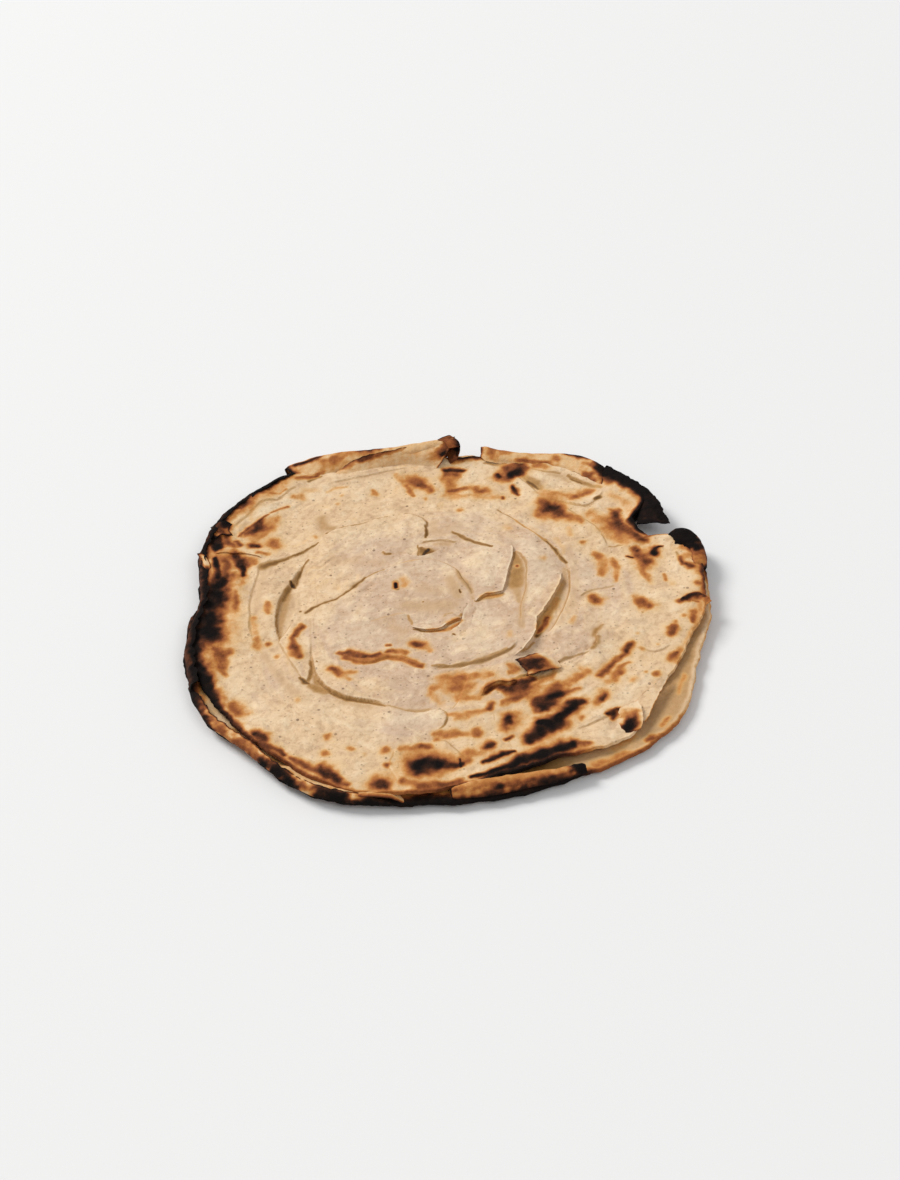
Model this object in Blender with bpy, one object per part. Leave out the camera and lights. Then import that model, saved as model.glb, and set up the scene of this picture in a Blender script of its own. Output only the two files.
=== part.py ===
"""Paratha: a flaky flatbread, coiled from one rope of dough, pressed flat and baked.

The bread is one closed solid. It lies on a flat round underside, its rim bends up a little
all round, and its top steps down from flake to flake towards the rim. The axes are +X right,
+Y back and +Z up, and the origin is at the middle of the bread's box, on the surface it lies on.
"""

import math

import bmesh
import bpy
from mathutils import Vector

MM = 0.001

# Driving sizes.
SEGMENTS = 144                # facets round every ring of the bread
MEAN_RADIUS = 100 * MM        # the round that the inner flakes follow
FLAT_RADIUS = 66 * MM         # the underside lies flat out to here
MIDDLE_THICKNESS = 7.0 * MM   # both layers together, at the middle
EDGE_THICKNESS = 4.6 * MM     # both layers together, at the upper layer's edge
SHEET_THICKNESS = 1.9 * MM    # the lower layer alone, where it shows past the upper one
LEDGE_MIN = 1.4 * MM          # the least that the lower layer shows past the upper one
STEP_RUN = 0.8 * MM           # how far out a flake's step takes to drop
STEP_HEIGHT = 1.1 * MM        # how high a flake's edge stands over the next flake
EDGE_ROUNDING = 0.5 * MM      # how far the rim's top and bottom corners are drawn in
ROLL_WIDTH = 7.0 * MM         # how far in the raised folds of the rim reach

# The flakes' edges, from the middle out: the share of the bread's radius at which each edge
# runs, how far that wanders round the bread, and the heading, in degrees, where it is widest.
FLAKE_EDGES = (
    (0.13, 0.030, 20),
    (0.30, 0.055, 200),
    (0.47, 0.040, 330),
    (0.64, 0.045, 230),
    (0.82, 0.030, 60),
)

# The lower layer's outline as heading in degrees and radius in millimetres. The dip between
# 20 and 26 degrees is a torn notch.
LOWER_OUTLINE = (
    (0, 100), (6, 102), (12, 103), (17, 102), (20, 97), (22, 87), (24, 86), (26, 97), (32, 100),
    (38, 101.5), (43, 100.5), (54, 105), (66, 98), (80, 95.5), (94, 99), (104, 101), (112, 106.5),
    (125, 113), (140, 112.5), (154, 108), (163, 101.5), (170, 98.5), (187, 102), (205, 103.5),
    (220, 100), (238, 102.5), (265, 96.5), (275, 98.5), (318, 103), (341, 96.5), (350, 99),
)

# How far the upper layer's edge lies inside that outline, in millimetres.
UPPER_INSET = (
    (0, 1.4), (100, 1.4), (170, 1.4), (195, 2.5), (208, 8), (225, 5.5), (240, 8), (255, 7),
    (268, 6.5), (285, 9), (297, 12), (308, 22), (318, 19), (328, 15), (338, 8), (350, 2.5),
)

# How far the rim bends up off the surface under it, in millimetres.
RIM_RISE = (
    (0, 3.4), (45, 4.0), (90, 4.0), (135, 4.0), (180, 4.0), (215, 3.4), (240, 2.6), (270, 1.8),
    (300, 1.6), (325, 2.0), (345, 2.6),
)

# How far the folds and curls along the rim stand over the ordinary edge, in millimetres.
FOLD_HEIGHT = (
    (0, 0.6), (8, 1.0), (13, 3.2), (18, 3.6), (21, 0.4), (28, 1.2), (45, 1.0), (60, 1.4),
    (72, 2.6), (78, 4.4), (80.5, 0.2), (82.5, 0.2), (85, 9.0), (90, 7.0), (98, 5.6),
    (110, 5.0), (120, 4.4), (125, 1.4), (135, 1.0), (150, 1.6), (165, 1.0), (190, 0.6),
    (260, 0.4), (300, 0.2), (345, 0.4),
)

CRUST_COLOUR = (0.62, 0.43, 0.25, 1.0)


def round_curve(knots):
    """Give a function of heading that runs smoothly through the knots and never past them."""
    angles = [angle for angle, _ in knots]
    values = [value for _, value in knots]
    count = len(knots)
    spans = [(angles[(i + 1) % count] - angles[i]) % 360 for i in range(count)]
    grades = [(values[(i + 1) % count] - values[i]) / spans[i] for i in range(count)]
    slopes = []
    for i in range(count):
        before, after = grades[i - 1], grades[i]
        level = before * after <= 0
        slopes.append(0.0 if level else 2 * before * after / (before + after))

    def value_at(heading):
        """Read the curve at a heading in degrees."""
        heading = (heading - angles[0]) % 360 + angles[0]
        i = max(k for k in range(count) if angles[k] <= heading)
        following = (i + 1) % count
        t = (heading - angles[i]) / spans[i]
        rest = 1 - t
        return (
            values[i] * rest * rest * (1 + 2 * t)
            + values[following] * t * t * (3 - 2 * t)
            + spans[i] * t * rest * (slopes[i] * rest - slopes[following] * t)
        )

    return value_at


lower_outline = round_curve(LOWER_OUTLINE)
upper_inset = round_curve(UPPER_INSET)
rim_rise = round_curve(RIM_RISE)
fold_height = round_curve(FOLD_HEIGHT)


def lower_radius(heading):
    """Radius of the lower layer's edge, and so of the whole bread."""
    return lower_outline(heading) * MM


def upper_radius(heading):
    """Radius of the upper layer's edge."""
    return lower_radius(heading) - max(upper_inset(heading) * MM, LEDGE_MIN)


def underside_height(radius, heading):
    """Height of the underside: flat in the middle, bending up towards the rim."""
    share = (radius - FLAT_RADIUS) / (lower_radius(heading) - FLAT_RADIUS)
    return rim_rise(heading) * MM * max(share, 0.0) ** 1.6


def top_height(radius, heading):
    """Height of the top without its flakes and folds."""
    share = min(radius / upper_radius(heading), 1.0)
    thickness = MIDDLE_THICKNESS + (EDGE_THICKNESS - MIDDLE_THICKNESS) * share ** 3
    return underside_height(radius, heading) + thickness


def flake_radius(flake, heading):
    """Radius of a flake's edge: round near the middle, and following the rim further out."""
    share, wander, widest = flake
    whole = MEAN_RADIUS + (upper_radius(heading) - MEAN_RADIUS) * share ** 2
    return whole * (share + wander * math.cos(math.radians(heading - widest)))


def flake_step(flake, heading):
    """Height of a flake's edge: full on its widest side, fading out on the other."""
    widest = flake[2]
    return STEP_HEIGHT * (0.62 + 0.38 * math.cos(math.radians(heading - widest)))


def point(radius, heading, height):
    """Point at a radius, a heading in degrees and a height."""
    turn = math.radians(heading)
    return Vector((radius * math.cos(turn), radius * math.sin(turn), height))


def flake_rings(number):
    """The crest and the foot of one flake's edge, and the ring between it and the next one."""
    flake = FLAKE_EDGES[number]
    last = number == len(FLAKE_EDGES) - 1

    def crest(heading):
        radius = flake_radius(flake, heading)
        return point(radius, heading, top_height(radius, heading) + flake_step(flake, heading))

    def foot(heading):
        radius = flake_radius(flake, heading) + STEP_RUN
        return point(radius, heading, top_height(radius, heading))

    def middle(heading):
        inner = flake_radius(flake, heading) + STEP_RUN
        outer = upper_radius(heading) if last else flake_radius(FLAKE_EDGES[number + 1], heading)
        radius = (inner + outer) / 2
        return point(radius, heading, top_height(radius, heading) + STEP_HEIGHT * 0.3)

    return [crest, foot, middle]


def fold_start(heading):
    """The ring where the folds of the rim begin to rise."""
    radius = upper_radius(heading) - ROLL_WIDTH
    return point(radius, heading, top_height(radius, heading) + fold_height(heading) * MM * 0.2)


def fold_crest(heading):
    """The ring along the crest of the rim's folds."""
    radius = upper_radius(heading) - ROLL_WIDTH * 0.4
    return point(radius, heading, top_height(radius, heading) + fold_height(heading) * MM)


def upper_edge(heading):
    """The top corner of the upper layer's edge."""
    radius = upper_radius(heading)
    return point(radius, heading, top_height(radius, heading) + fold_height(heading) * MM * 0.55)


def ledge_inner(heading):
    """The inner corner of the ledge, where the upper layer meets the lower one's top."""
    radius = upper_radius(heading) + EDGE_ROUNDING
    return point(radius, heading, underside_height(radius, heading) + SHEET_THICKNESS)


def ledge_outer(heading):
    """The top corner of the lower layer's edge."""
    radius = lower_radius(heading) - EDGE_ROUNDING
    return point(radius, heading, underside_height(radius, heading) + SHEET_THICKNESS)


def rim(heading):
    """The outermost ring, half way down the lower layer's edge."""
    radius = lower_radius(heading)
    return point(radius, heading, underside_height(radius, heading) + SHEET_THICKNESS / 2)


def rim_bottom(heading):
    """The bottom corner of the lower layer's edge."""
    radius = lower_radius(heading) - EDGE_ROUNDING
    return point(radius, heading, underside_height(radius, heading))


def underside_slope(heading):
    """A ring half way along the part of the underside that bends up."""
    radius = (FLAT_RADIUS + lower_radius(heading)) / 2
    return point(radius, heading, underside_height(radius, heading))


def underside_flat(heading):
    """The edge of the flat part of the underside."""
    return point(FLAT_RADIUS, heading, 0.0)


def all_rings():
    """Every ring of the bread, from the middle of its top, over the rim, to its flat underside."""
    rings = []
    for number in range(len(FLAKE_EDGES)):
        rings += flake_rings(number)
    rings[-1] = fold_start
    rings += [fold_crest, upper_edge, ledge_inner, ledge_outer]
    rings += [rim, rim_bottom, underside_slope, underside_flat]
    return rings


def bridge(mesh, inner, outer):
    """Join two rings with faces that point away from the bread's inside."""
    for i, corner in enumerate(inner):
        following = (i + 1) % len(inner)
        mesh.faces.new((corner, outer[i], outer[following], inner[following]))


def build_paratha():
    """Build the whole bread as one closed body."""
    mesh = bmesh.new()
    headings = [360 * i / SEGMENTS for i in range(SEGMENTS)]
    loops = [[mesh.verts.new(ring(heading)) for heading in headings] for ring in all_rings()]
    middle = mesh.verts.new((0, 0, top_height(0, 0) + STEP_HEIGHT))
    for i, corner in enumerate(loops[0]):
        mesh.faces.new((middle, corner, loops[0][(i + 1) % SEGMENTS]))
    for inner, outer in zip(loops, loops[1:]):
        bridge(mesh, inner, outer)
    mesh.faces.new(reversed(loops[-1]))
    centre_on_origin(mesh)

    data = bpy.data.meshes.new("paratha")
    mesh.to_mesh(data)
    mesh.free()
    data.shade_smooth()
    data.set_sharp_from_angle(angle=math.radians(40))
    data.materials.append(crust_material())
    bread = bpy.data.objects.new("paratha", data)
    bpy.context.collection.objects.link(bread)
    return bread


def centre_on_origin(mesh):
    """Slide the bread level so that the middle of its box is over the origin."""
    for axis in (0, 1):
        places = [corner.co[axis] for corner in mesh.verts]
        offset = (min(places) + max(places)) / 2
        for corner in mesh.verts:
            corner.co[axis] -= offset


def crust_material():
    """Pale baked dough, matt."""
    material = bpy.data.materials.new("crust")
    material.use_nodes = True
    shader = material.node_tree.nodes["Principled BSDF"]
    shader.inputs["Base Color"].default_value = CRUST_COLOUR
    shader.inputs["Roughness"].default_value = 0.75
    shader.inputs["Metallic"].default_value = 0.0
    return material


for leftover in list(bpy.data.objects):
    bpy.data.objects.remove(leftover, do_unlink=True)
build_paratha()
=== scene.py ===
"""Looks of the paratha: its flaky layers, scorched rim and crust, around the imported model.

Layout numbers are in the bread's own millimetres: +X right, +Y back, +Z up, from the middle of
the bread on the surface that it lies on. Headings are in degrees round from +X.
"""

import math

import bpy
import numpy as np
from mathutils import Matrix, Vector


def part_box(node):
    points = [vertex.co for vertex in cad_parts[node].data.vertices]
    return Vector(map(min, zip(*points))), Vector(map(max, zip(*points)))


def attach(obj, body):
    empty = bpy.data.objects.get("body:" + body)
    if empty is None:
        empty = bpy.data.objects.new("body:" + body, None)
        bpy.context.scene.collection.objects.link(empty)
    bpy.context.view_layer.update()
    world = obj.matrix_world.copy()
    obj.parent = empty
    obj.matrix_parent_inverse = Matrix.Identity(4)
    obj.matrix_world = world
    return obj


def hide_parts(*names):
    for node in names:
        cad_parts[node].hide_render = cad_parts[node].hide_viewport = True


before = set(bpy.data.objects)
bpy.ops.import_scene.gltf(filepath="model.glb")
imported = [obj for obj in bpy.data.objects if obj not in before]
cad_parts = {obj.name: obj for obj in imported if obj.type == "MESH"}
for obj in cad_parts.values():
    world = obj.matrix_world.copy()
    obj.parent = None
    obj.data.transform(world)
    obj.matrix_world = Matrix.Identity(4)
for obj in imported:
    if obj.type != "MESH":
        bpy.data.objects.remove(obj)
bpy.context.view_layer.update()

BREAD = "paratha"
BREAD_WIDTH = 202.8           # the layout's width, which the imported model's width gives its scale
LOW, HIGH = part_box(BREAD)
MM = (HIGH[0] - LOW[0]) / BREAD_WIDTH
MIDDLE_X, MIDDLE_Y = 0.08, 0.27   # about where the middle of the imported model's box lies in the layout

# --- Shape of the two layers ---------------------------------------------------------------

FLAT_RADIUS = 66.0            # how far out the underside lies flat
MIDDLE_THICKNESS = 7.0        # both layers together, at the middle
EDGE_THICKNESS = 4.6          # both layers together, at the upper layer's edge
SHEET_THICKNESS = 1.9         # the lower layer alone
HIDDEN_RADIUS = 45.0          # where the layers' inner faces, which nothing shows, are closed

# Flakes and marks are laid out in a level drawing at DRAWING_HEIGHT, with the camera's own slant. A
# place on the top that is higher lies further back in the drawing, by DRAWING_SLANT of its extra
# height, and DRAWING_SPREAD more of it for each millimetre from the middle.
DRAWING_HEIGHT = 7.5
DRAWING_SLANT = 1.138
DRAWING_SPREAD = 0.0021

# Heading in degrees, and the lower layer's radius in millimetres.
LOWER_OUTLINE = (
    (0, 99.5), (12, 101.5), (17, 101), (20, 96), (22, 87), (26, 86.5), (30, 88), (32, 95), (34, 100),
    (39, 103), (48, 104), (54, 104), (66, 98.5), (85, 99.5), (94, 99), (104, 101), (112, 106.5),
    (125, 113), (140, 113.5), (154, 109), (163, 102), (170, 98.5), (187, 102), (205, 103.5),
    (221, 100), (238, 102.5), (256, 98), (265, 96.5), (290, 97), (318, 102.5), (341, 96.5),
    (350, 98.5),
)

# Heading, and how far the upper layer's edge lies inside the lower one's.
UPPER_INSET = (
    (0, 1.5), (12, 1.5), (19, 3), (22, 0.5), (28, 0.5), (33, 2), (54, 2), (66, 2.5), (78, 4), (94, 5),
    (104, 4), (112, 5.5), (124, 2), (170, 2), (190, 4), (207, 6), (222, 4), (232, 5), (256, 3),
    (262, 3.5), (270, 6), (280, 9), (291, 9.5), (301, 7.5), (309, 6.5), (312, 8.5), (316, 15.5),
    (319, 17), (322, 16.5), (327, 12.5), (332, 8.5), (343, 5), (355, 2),
)

# Heading, and how far the rim bends up off the surface under it.
RIM_RISE = (
    (0, 3.4), (45, 4.0), (90, 4.0), (135, 4.0), (180, 4.0), (215, 3.4), (240, 2.6), (270, 1.8),
    (300, 1.6), (325, 2.0), (345, 2.6),
)

# Heading, and how far the rim swells over the ordinary edge.
FOLD_HEIGHT = (
    (0, 0.8), (8, 1.0), (13, 1.6), (18, 1.2), (21, 0.5), (28, 0.8), (35, 1.4), (45, 1.6), (60, 1.0),
    (72, 0.8), (78, 0.5), (90, 0.7), (110, 0.7), (125, 0.9), (135, 1.0), (150, 1.2), (165, 1.0),
    (190, 0.8), (260, 0.5), (300, 0.3), (345, 0.5),
)


def round_curve(knots):
    """A function of heading, for arrays, that runs smoothly through the knots."""
    angles = np.array([angle for angle, _ in knots], float)
    values = np.array([value for _, value in knots], float)
    spans = (np.roll(angles, -1) - angles) % 360
    grades = (np.roll(values, -1) - values) / spans
    before = np.roll(grades, 1)
    total = before + grades
    level = before * grades <= 0
    slopes = np.where(level, 0.0, 2 * before * grades / np.where(level, 1.0, total))
    ends = np.append(angles[1:], angles[0] + 360)

    def value_at(heading):
        """Read the curve at headings in degrees."""
        heading = (np.asarray(heading, float) - angles[0]) % 360 + angles[0]
        i = np.clip(np.searchsorted(ends, heading, side="right"), 0, len(angles) - 1)
        following = (i + 1) % len(angles)
        t = (heading - angles[i]) / spans[i]
        rest = 1 - t
        return (
            values[i] * rest * rest * (1 + 2 * t)
            + values[following] * t * t * (3 - 2 * t)
            + spans[i] * t * rest * (slopes[i] * rest - slopes[following] * t)
        )

    return value_at


def smoothstep(low, high, value):
    """Rise from 0 at low to 1 at high, level at both ends."""
    t = np.clip((value - low) / (high - low), 0.0, 1.0)
    return t * t * (3 - 2 * t)


def noise(x, y, size, seed):
    """Smooth bumps between about -1 and 1; size is the width of one bump."""
    x, y = np.asarray(x) / size, np.asarray(y) / size
    column, row = np.floor(x).astype(np.int64), np.floor(y).astype(np.int64)
    x, y = x - column, y - row
    ease_x, ease_y = x * x * (3 - 2 * x), y * y * (3 - 2 * y)

    def corner(right, up):
        """How much one corner of each cell, with its own random slope, adds."""
        mixed = (column + right) * 374761393 + (row + up) * 668265263 + seed * 982451653
        mixed &= 0xFFFFFFFF
        mixed = ((mixed ^ (mixed >> 13)) * 1274126177) & 0xFFFFFFFF
        turn = (mixed ^ (mixed >> 16)) / 0xFFFFFFFF * 2 * math.pi
        return np.cos(turn) * (x - right) + np.sin(turn) * (y - up)

    low = corner(0, 0) * (1 - ease_x) + corner(1, 0) * ease_x
    high = corner(0, 1) * (1 - ease_x) + corner(1, 1) * ease_x
    return (low * (1 - ease_y) + high * ease_y) * 1.5


lower_outline = round_curve(LOWER_OUTLINE)
upper_inset = round_curve(UPPER_INSET)
rim_rise = round_curve(RIM_RISE)
fold_height = round_curve(FOLD_HEIGHT)


def placed(x, y, z):
    """Points of the layout as metres in the frame."""
    return np.stack(((x - MIDDLE_X) * MM, (y - MIDDLE_Y) * MM, z * MM), axis=-1)


def spot(radius, heading):
    """Where a radius and a heading in degrees lie."""
    turn = np.radians(heading)
    return radius * np.cos(turn), radius * np.sin(turn)


def polar(x, y):
    """Radius and heading of points."""
    return np.hypot(x, y), np.degrees(np.arctan2(y, x)) % 360


def lower_radius(heading):
    """Radius of the lower layer's ragged edge."""
    x, y = spot(100, heading)
    ragged = 0.7 * noise(x, y, 9, 11) + 0.45 * noise(x, y, 3.1, 12) + 0.2 * noise(x, y, 1.3, 13)
    return lower_outline(heading) + ragged


def upper_outline(heading):
    """Radius of the upper layer's edge before it is made ragged."""
    return lower_outline(heading) - upper_inset(heading)


def upper_radius(heading):
    """Radius of the upper layer's ragged edge."""
    x, y = spot(100, heading)
    ragged = 0.8 * noise(x, y, 11, 21) + 0.4 * noise(x, y, 3.3, 22) + 0.2 * noise(x, y, 1.4, 23)
    return upper_outline(heading) + ragged


def underside_height(x, y):
    """Height of the underside: flat in the middle, bending up towards the rim."""
    radius, heading = polar(x, y)
    share = (radius - FLAT_RADIUS) / (lower_outline(heading) - FLAT_RADIUS)
    return rim_rise(heading) * np.maximum(share, 0.0) ** 1.6


# --- Flakes ----------------------------------------------------------------------------------


def smooth_path(points, spacing, plane=2):
    """Evenly spaced points along a smooth curve through the given ones.

    plane is how many of the coordinates count towards the length.
    """
    points = np.array(points, float)
    padded = np.vstack((2 * points[0] - points[1], points, 2 * points[-1] - points[-2]))
    t = np.linspace(0, 1, 12, endpoint=False)[:, None]
    pieces = []
    for a, b, c, d in zip(padded, padded[1:], padded[2:], padded[3:]):
        pieces.append(
            0.5 * (2 * b + (c - a) * t + (2 * a - 5 * b + 4 * c - d) * t ** 2
                   + (3 * b - a - 3 * c + d) * t ** 3)
        )
    dense = np.vstack(pieces + [points[-1:]])
    along = np.append(0, np.cumsum(np.linalg.norm(np.diff(dense[:, :plane], axis=0), axis=1)))
    count = max(int(round(along[-1] / spacing)), 2)
    even = np.linspace(0, along[-1], count + 1)
    return np.stack([np.interp(even, along, dense[:, k]) for k in range(dense.shape[1])], axis=1)


def nearest(path, x, y):
    """Distance of points from a path, positive on its left, and how far along they lie."""
    x, y = np.asarray(x, float).ravel(), np.asarray(y, float).ravel()
    best = np.full(x.shape, np.inf)
    side = np.zeros(x.shape)
    along = np.zeros(x.shape)
    steps = len(path) - 1
    for k in range(steps):
        (ax, ay), (bx, by) = path[k, :2], path[k + 1, :2]
        dx, dy = bx - ax, by - ay
        t = np.clip(((x - ax) * dx + (y - ay) * dy) / (dx * dx + dy * dy), 0, 1)
        px, py = x - ax - t * dx, y - ay - t * dy
        gap = px * px + py * py
        closer = gap < best
        best[closer] = gap[closer]
        side[closer] = (dx * py - dy * px)[closer]
        along[closer] = ((k + t) / steps)[closer]
    return np.sqrt(best) * np.where(side >= 0, 1.0, -1.0), along


class Flake:
    """One edge of a flake. The flake lies on the left of its path and stands over what is right.

    height: how far the edge stands up; reach: how far behind the edge the flake starts to rise;
    gap: width of the hollow beside it; depth: how far the hollow sinks; lip: how far the thin
    edge reaches out over the hollow, or 0 for a soft fold; curl: how far the lip turns up.
    """

    def __init__(self, height, reach, gap, depth, lip, curl, points):
        self.height, self.reach, self.gap, self.depth = height, reach, gap, depth
        self.lip, self.curl = lip, curl
        self.path = smooth_path(points, 1.6)

    def fade(self, along):
        """Full along the edge, and nothing at its two ends."""
        return smoothstep(0, 0.14, along) * smoothstep(0, 0.14, 1 - along)

    def near(self, x, y):
        """Which points lie close enough for the flake to matter."""
        margin = 2.6 * max(self.reach, self.gap)
        low, high = self.path.min(axis=0) - margin, self.path.max(axis=0) + margin
        return (x > low[0]) & (x < high[0]) & (y > low[1]) & (y < high[1])

    def relief(self, x, y):
        """How far the flake raises the surface, and how far the hollow beside it sinks."""
        near = self.near(x, y)
        raised = np.zeros(x.shape)
        distance, along = nearest(self.path, x[near], y[near])
        over = np.maximum(distance, 0) / self.reach
        up = np.exp(-over ** 1.6) * smoothstep(-0.35, 0.35, distance)
        under = np.maximum(-distance, 0) / self.gap
        down = np.exp(-under ** 2) * smoothstep(0.35, -0.35, distance)
        raised[near] = self.fade(along) * (self.height * up - self.depth * down)
        return raised

    def crack_shade(self, x, y):
        """How dark the painted shade in the crack under the edge is, from 0 to 1."""
        near = self.near(x, y)
        dark = np.zeros(x.shape)
        distance, along = nearest(self.path, x[near], y[near])
        width = 0.5 + 0.14 * self.gap
        past = np.maximum(-distance - self.lip, 0) + np.maximum(distance, 0) * 3
        dark[near] = self.fade(along) * np.exp(-(past / width) ** 2)
        return dark

    def light(self, x, y):
        """How strong the painted highlight along the thin edge is at a place, from 0 to 1."""
        near = self.near(x, y)
        light = np.zeros(x.shape)
        distance, along = nearest(self.path, x[near], y[near])
        edge = np.exp(-(np.maximum(distance, 0) / 0.9) ** 2)
        edge = edge * smoothstep(-self.lip - 0.3, -self.lip, distance)
        light[near] = self.fade(along) * edge * min(1.0, 0.4 + 0.6 * self.height)
        return light


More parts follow.
